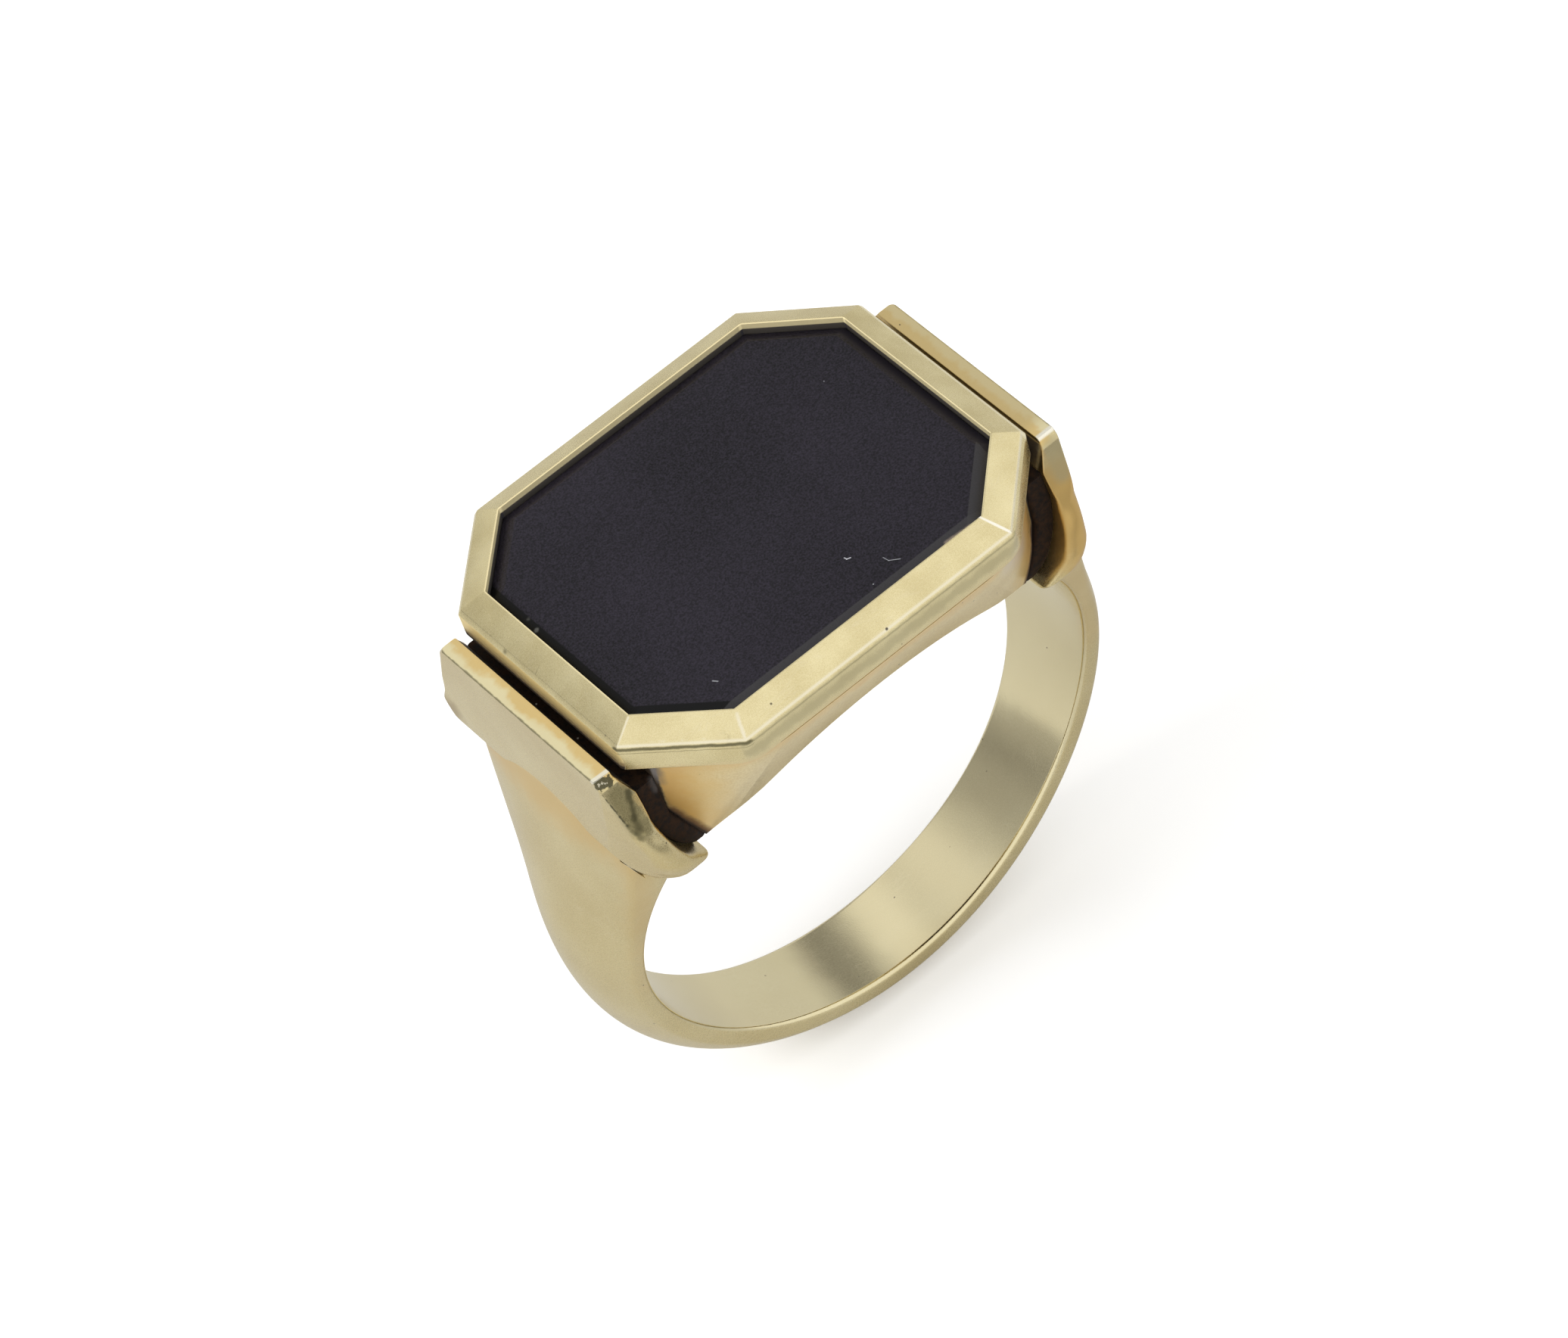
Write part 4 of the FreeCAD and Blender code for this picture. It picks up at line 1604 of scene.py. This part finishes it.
def left_flange_finish() -> GoldFinish:
    """Describes the left flange's finish, with the dark patches on its near end, painted dark reflections and
    highlights among them.

    Returns:
        The finish.
    """
    return flange_finish(
        "gold_left_flange",
        (
            # the near end: olive above, a painted dark reflection, and golden beside the slit
            patch(
                rgb(0.36, 0.31, 0.15), 0.7,
                Stroke((-9.3, -4.65, 11.1), (-9.2, -5.1, 9.7), 0.42, 0.16, 0.06, 2.5),
            ),
            patch(
                OLIVE_REFLECTION_AND_SCUFF, 0.8,
                Stroke((-9.0, -4.62, 11.0), (-9.22, -4.95, 10.1), 0.10, 0.08, 0.06, 4.0),
                dull=0.05,
            ),
            patch(
                OLIVE_REFLECTION_AND_SCUFF, 0.7,
                Stroke((-9.22, -4.95, 10.1), (-9.3, -5.1, 9.6), 0.14, 0.12, 0.06, 4.0),
                dull=0.05,
            ),
            patch(
                rgb(0.86, 0.64, 0.28), 0.8,
                Stroke((-8.8, -4.75, 10.7), (-8.6, -5.2, 9.0), 0.14, 0.08, 0.04, 4.0),
            ),
            # the dark speckled line down the outer edge and the mottled facet, partly painted dark
            # reflection, with the facet's bright top a painted highlight
            patch(
                OLIVE_REFLECTION_AND_SCUFF, 0.95,
                Stroke((-9.82, -4.5, 11.45), (-9.58, -4.99, 10.0), 0.05, 0.03, 0.035, 7.0),
                dull=0.2, metal=0.7,
            ),
            patch(
                OLIVE_REFLECTION_AND_SCUFF, 0.6,
                Stroke((-9.58, -4.99, 10.0), (-9.36, -5.2, 9.3), 0.10, 0.08, 0.06, 5.0),
                dull=0.1,
            ),
            patch(
                OLIVE_REFLECTION_AND_SCUFF, 0.97,
                Stroke((-9.68, -4.3, 11.76), (-9.42, -4.34, 11.70), 0.19, 0.03, 0.12, 5.0),
                dull=0.3, metal=0.5,
            ),
            patch(PALE_HIGHLIGHT, 0.6, Stroke((-9.66, -4.3, 11.76), (-9.5, -4.34, 11.70), 0.03, 0.02, 0.14, 9.0)),
            patch(
                rgb(1.0, 0.96, 0.80), 0.9,
                Stroke((-9.84, -4.08, 11.87), (-9.16, -4.1, 11.87), 0.09, 0.03),
                dull=-0.06,
            ),
            # a brown painted shadow under the far end of the foot
            patch(BROWN_SHADE, 0.4, spot((-9.8, 5.2, 8.0), 0.6, 0.45, 0.25, 1.2), dull=0.1),
        ),
    )


def right_flange_finish() -> GoldFinish:
    """Describes the right flange's finish, with warm toning down its near end.

    Returns:
        The finish.
    """
    return flange_finish(
        "gold_right_flange",
        (
            patch(
                rgb(0.66, 0.43, 0.14), 0.85,
                Stroke((9.2, -4.9, 10.2), (8.8, -5.3, 7.6), 0.9, 0.5, 0.15),
                dull=0.1,
            ),
            patch(rgb(0.62, 0.49, 0.24), 0.6, past(UP, 11.7), Layer(FAR, -3.6, 5.4, 0.4), dull=0.05),
            patch(
                rgb(0.50, 0.43, 0.25), 0.7,
                Stroke((9.5, -4.5, 11.35), (9.4, -4.85, 10.5), 0.4, 0.2, 0.08),
                dull=0.1,
            ),
            # a painted highlight along the near end of the top
            patch(
                rgb(1.0, 0.96, 0.82), 0.95,
                Stroke((9.2, -4.2, 11.87), (9.8, -4.2, 11.87), 0.12, 0.05),
                dull=-0.05,
            ),
        ),
    )


def gallery_finish() -> GoldFinish:
    """Describes the underbody's finish: toned at its corners, and black in the slits with painted shade and
    dirt.

    Returns:
        The finish.
    """
    slope = (0.908, 0.0, -0.418)
    return GoldFinish(
        "gold_gallery",
        colour=rgb(0.92, 0.81, 0.53),
        shade=rgb(0.72, 0.58, 0.31),
        grain=13.0,
        toning=0.3,
        speck_share=0.3,
        roughness=0.32,
        marks=(
            patch(rgb(0.82, 0.59, 0.24), 0.7, past(OUT, 6.3, 0.9, 0.35, 1.1), dull=0.08),
            patch(rgb(0.78, 0.50, 0.17), 0.6, past(OUT, 7.2, 0.45, 0.18, 2.5), dull=0.08),
            patch(rgb(0.84, 0.62, 0.32), 0.5, past(UP, 11.1, 0.35, 0.3, 0.7), dull=0.1),
            patch(rgb(0.80, 0.70, 0.55), 0.8, Stroke((5.7, -6.7, 11.0), (6.6, -5.9, 9.8), 0.55, 0.45, 0.1)),
            # the end faces in the slits: black, painted shade and dirt
            patch(SOOT_AND_SHADE, 0.97, past(OUT, 7.86, 0.04, 0.02, 4.0), dull=0.4, metal=0.1),
            # a painted grey reflection on the shaded near corner of the left end
            patch(
                rgb(0.24, 0.22, 0.21), 0.8,
                Stroke((-7.97, -4.75, 11.3), (-7.97, -4.9, 10.5), 0.22, 0.14, 0.05),
            ),
            # the ends' sloping feet: brown, then black, dirt and painted shade in the gap beside the flanges
            patch(BROWN_SHADE, 0.9, past(slope, 3.2, 0.12, 0.04, 3.0), before(UP, 9.1, 0.2), dull=0.3, metal=0.4),
            patch(SOOT_AND_SHADE, 0.9, past(slope, 3.36, 0.06, 0.03, 3.0), before(UP, 9.1, 0.2), dull=0.3, metal=0.2),
        ),
    )


def bezel_finish() -> GoldFinish:
    """Describes the rim's finish: pale and scuffed on top with painted highlights and dark reflections,
    painted reflections and shade at its ends, and toned at its foot.

    Returns:
        The finish.
    """
    left_end = bar(-10.75, 12, 2.09, 0.02)
    right_end = bar(10.75, 12, 2.09, 0.06)
    right_edge = bar(10.75, 12.6, 2.16, 0.05)
    near_cut = past(NEAR_CUT, 9.05, 0.05)
    near_side = past(NEAR, 7.2, 0.05)
    left_half = spot((-7.2, -5.8, 12.7), 2.8, 0.3)
    # the window's far, end and slanting walls, each kept off the sloping bezel beside it: painted shade below
    # the stone's top and a painted golden reflection above it
    walls = (
        (Layer(FAR, 6.26, 6.38, 0.02), before(OUT, 5.25, 0.02)),
        (Layer(OUT, 7.64, 7.76, 0.02), Layer(FAR, -3.87, 3.87, 0.02)),
        (Layer((0.707, 0.707, 0), 8.12, 8.24, 0.02), before(FAR, 6.36, 0.02), before(OUT, 7.74, 0.02)),
    )
    window = []
    for wall in walls:
        window.append(patch(
            rgb(0.03, 0.027, 0.033), 0.95,
            *wall,
            before(UP, 12.97, 0.03),
            dull=0.3, metal=0.1,
        ))
        window.append(patch(rgb(1.0, 0.86, 0.50), 0.9, *wall, past(UP, 12.97, 0.03), dull=0.2, metal=0.4))
    return GoldFinish(
        "gold_bezel",
        colour=rgb(0.91, 0.80, 0.47),
        shade=rgb(0.70, 0.59, 0.31),
        roughness=0.22,
        wave=0.7,
        scratches=0.4,
        scratch_density=1.55,
        toning=0.08,
        dirt_cover=0.0,
        speck_share=0.06,
        marks=(
            # upright sides: the near side painted greyer with dark bands for its reflections, and warm toning
            # at the foot
            patch(rgb(0.74, 0.65, 0.38), 0.6, near_side, before(UP, 12.6, 0.08)),
            patch(OLIVE_REFLECTION_AND_SCUFF, 0.3, near_side, Layer(UP, 12.52, 12.62, 0.05, 0.03, 3.0), dull=0.05),
            patch(OLIVE_REFLECTION_AND_SCUFF, 0.22, near_side, Layer(UP, 11.9, 12.35, 0.15, 0.14, 1.8), dull=0.05),
            patch(rgb(0.84, 0.66, 0.38), 0.35, before(UP, 11.75, 0.10, 0.12, 0.8), dull=0.05),
            # right end: painted paler below the bevel, with a painted highlight along its edge
            patch(rgb(0.90, 0.81, 0.62), 0.5, right_end, before(UP, 12.5, 0.15)),
            patch(rgb(1.0, 0.94, 0.72), 0.7, right_edge, Layer(UP, 12.45, 12.8, 0.04), dull=0.25, metal=0.8),
            # left end: a painted golden reflection below the bevel, then painted shade, brown to black, down
            # in the slit
            patch(rgb(1.0, 0.84, 0.46), 0.9, left_end, before(UP, 12.62, 0.05), dull=0.3),
            patch(BROWN_SHADE, 0.6, left_end, before(UP, 11.98, 0.10, 0.05, 3.0), dull=0.2),
            patch(SOOT_AND_SHADE, 0.97, left_end, before(UP, 11.82, 0.07, 0.05, 4.0), dull=0.4, metal=0.1),
            # the bevel edge's painted highlight, the painted dark reflection lines below it and the mitres'
            # painted highlights
            patch(PALE_HIGHLIGHT, 0.75, Layer(UP, 12.68, 12.76, 0.03), past(NEAR, 4.2), dull=-0.06),
            patch(OLIVE_REFLECTION_AND_SCUFF, 0.85, near_cut, left_half, Layer(UP, 12.57, 12.66, 0.03, 0.02, 1.8), dull=0.1),
            patch(OLIVE_REFLECTION_AND_SCUFF, 0.5, near_cut, left_half, Layer(UP, 12.44, 12.47, 0.02, 0.02, 1.8), dull=0.1),
            patch(
                rgb(1.0, 0.96, 0.84), 0.9,
                Stroke((5.15, -6.3, 13.2), (5.66, -7.33, 12.74), 0.05, 0.02),
                dull=-0.1, metal=0.5,
            ),
            patch(
                PALE_HIGHLIGHT, 0.8,
                Stroke((-5.3, -6.5, 13.1), (-5.66, -7.3, 12.76), 0.05, 0.05, 0.03, 5.0),
                dull=-0.05,
            ),
            patch(PALE_HIGHLIGHT, 0.7, Stroke((-7.8, -3.95, 13.17), (-8.68, -4.3, 12.76), 0.035, 0.02), dull=-0.05),
            # scuffs on the near cut, with painted highlight bands and dark reflection mottles
            patch(
                rgb(1.0, 0.98, 0.88), 0.75,
                near_cut,
                left_half,
                Layer(UP, 13.02, 13.14, 0.04, 0.06, 4.0),
                dull=-0.05,
            ),
            patch(OLIVE_REFLECTION_AND_SCUFF, 0.4, near_cut, left_half, Layer(UP, 12.92, 12.98, 0.02, 0.05, 3.5), dull=0.05),
            patch(
                rgb(1.0, 0.97, 0.84), 0.7,
                near_cut,
                left_half,
                Layer(UP, 12.82, 12.9, 0.03, 0.05, 3.0),
                dull=-0.05,
            ),
            patch(OLIVE_REFLECTION_AND_SCUFF, 0.35, Stroke((-6.9, -6.0, 13.1), (-6.0, -6.8, 12.95), 0.12, 0.10, 0.12, 4.0)),
            # a scratch and specks
            patch(OLIVE_REFLECTION_AND_SCUFF, 0.6, Stroke((-7.95, 0.35, 13.08), (-8.6, 0.15, 12.77), 0.012, 0.012)),
            patch(SOOT_AND_SHADE, 0.9, spot((0.33, -7.26, 12.74), 0.05, 0.02), dull=0.2, metal=0.2),
            patch(SOOT_AND_SHADE, 0.8, spot((-4.23, -6.91, 12.93), 0.04, 0.02), dull=0.2, metal=0.2),
            patch(SOOT_AND_SHADE, 0.7, spot((-8.63, -3.63, 12.76), 0.04, 0.02), dull=0.2, metal=0.2),
            patch(OLIVE_REFLECTION_AND_SCUFF, 0.5, spot((-8.70, 1.75, 12.70), 0.09, 0.06, 0.03, 5.0)),
            *window,
        ),
    )


def onyx_finish() -> OnyxFinish:
    """Describes the tablet's finish, with its few white marks and the chip's pale edge.

    Returns:
        The finish.
    """
    # White scratches on the flat face: both ends, the width, the softness and the share that shows.
    scratches = (
        ((1.22, -4.05), (1.24, -4.15), 0.018, 0.015, 0.6),
        ((1.24, -4.15), (1.36, -4.20), 0.018, 0.015, 0.7),
        ((2.08, -5.02), (2.12, -5.26), 0.012, 0.012, 0.35),
        ((2.12, -5.26), (2.42, -5.50), 0.012, 0.012, 0.45),
        ((1.15, -5.64), (1.15, -5.64), 0.02, 0.02, 0.5),
        ((-4.92, -4.72), (-4.82, -4.86), 0.02, 0.02, 0.4),
    )
    white = []
    for start, end, width, soft, share in scratches:
        line = Stroke((*start, Tablet.top), (*end, Tablet.top), width, soft)
        white.append(patch(rgb(0.75, 0.76, 0.80), share, line))
    left = bar(-10, 12, 2.83, 0.02)
    near_cut = past(NEAR_CUT, 7.67, 0.02)
    near_side = past(NEAR, 5.81, 0.02)
    right = bar(10, 12, 2.83, 0.02)
    return OnyxFinish(
        "onyx",
        marks=(
            # the sloping edge, its reflections painted: black on the left and the near cuts, a shade paler on
            # the near side
            patch(rgb(0.0, 0.0, 0.0), 1.0, left),
            patch(rgb(0.0, 0.0, 0.0), 1.0, near_cut, spot((-6.5, -5.1, 12.9), 2.3, 0.1)),
            patch(rgb(0.05, 0.048, 0.05), 0.7, near_cut, spot((6.5, -5.1, 12.9), 2.3, 0.1)),
            patch(rgb(0.014, 0.012, 0.018), 0.9, right),
            patch(rgb(0.05, 0.048, 0.05), 0.7, near_side, Stroke((-5, -6, 12.9), (5, -6, 12.9), 0.5, 0.1)),
            *white,
            patch(
                rgb(0.45, 0.36, 0.28), 0.8,
                Stroke((3.9, -6.1, 12.9), (4.9, -6.15, 12.85), 0.09, 0.05, 0.02),
            ),
            patch(rgb(0.10, 0.10, 0.09), 0.8, spot((-7.42, 2.1, 12.93), 0.08, 0.05, 0.03, 5.0)),
            patch(rgb(0.16, 0.16, 0.15), 0.8, spot((-7.48, 1.55, 12.86), 0.09, 0.05, 0.03, 5.0)),
        ),
    )


def cement_finish() -> PlainFinish:
    """Describes the finish of the clear cement under the stone.

    Returns:
        The finish.
    """
    return PlainFinish(
        "cement", rgb(0.30, 0.24, 0.12), rgb(0.18, 0.13, 0.06), roughness=0.3, metallic=0.0
    )


def solder_finish() -> PlainFinish:
    """Describes the finish of the solder in the slits: near black for dirt and the slits' painted shade.

    Returns:
        The finish.
    """
    return PlainFinish(
        "solder",
        rgb(0.034, 0.016, 0.007),
        rgb(0.004, 0.002, 0.001),
        roughness=0.75,
        metallic=0.1,
        marks=(
            # a painted grey reflection in the slit's shade at the near end
            patch(
                rgb(0.16, 0.15, 0.15), 0.5,
                Stroke((-8.0, -4.6, 10.9), (-8.0, -4.7, 10.3), 0.14, 0.14, 0.06),
            ),
            patch(rgb(0.6, 0.58, 0.5), 0.8, spot((-8.7, 0.8, 10.74), 0.035, 0.02)),
            patch(rgb(0.6, 0.58, 0.5), 0.7, spot((-8.65, -1.4, 10.74), 0.03, 0.02)),
        ),
    )


def ring_pieces() -> list[Piece]:
    """Lists the ring's pieces in the order that they are built.

    Returns:
        The pieces.
    """
    gallery = gallery_finish()
    solder = solder_finish()
    return [
        Hoop("hoop", "shank", Slot.SHANK, shank_finish()),
        Flange("left_flange", "left_shoulder_flange", Slot.FLANGE, left_flange_finish(), side=-1),
        Flange("right_flange", "right_shoulder_flange", Slot.FLANGE, right_flange_finish()),
        Underbody("underbody", "gallery", Slot.GALLERY, gallery),
        Rim("rim", "bezel_rim", Slot.BEZEL, bezel_finish()),
        Piece("bearing", "stone_bearing", Slot.GALLERY, replace(gallery, name="gold_bearing", marks=())),
        Piece("cement_bed", "stone_cement", Slot.CEMENT, cement_finish()),
        Tablet("tablet", "onyx_stone", Slot.ONYX, onyx_finish()),
        Solder("left_solder", "left_head_bridge", Slot.SOLDER, solder, side=-1),
        Solder("right_solder", "right_head_bridge", Slot.SOLDER, replace(solder, name="solder_right")),
    ]


def main() -> None:
    """Builds the ring, its stage, its light and the camera."""
    Effects.build()
    Viewpoint().build()
    for piece in ring_pieces():
        piece.build()
    Stage().build()
    Studio().build()
    scene = bpy.context.scene
    scene.view_settings.view_transform = "Standard"
    scene.view_settings.look = "None"


if __name__ == "__main__":
    logging.basicConfig(level=logging.INFO, format="%(name)s: %(message)s")
    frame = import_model()
    main()
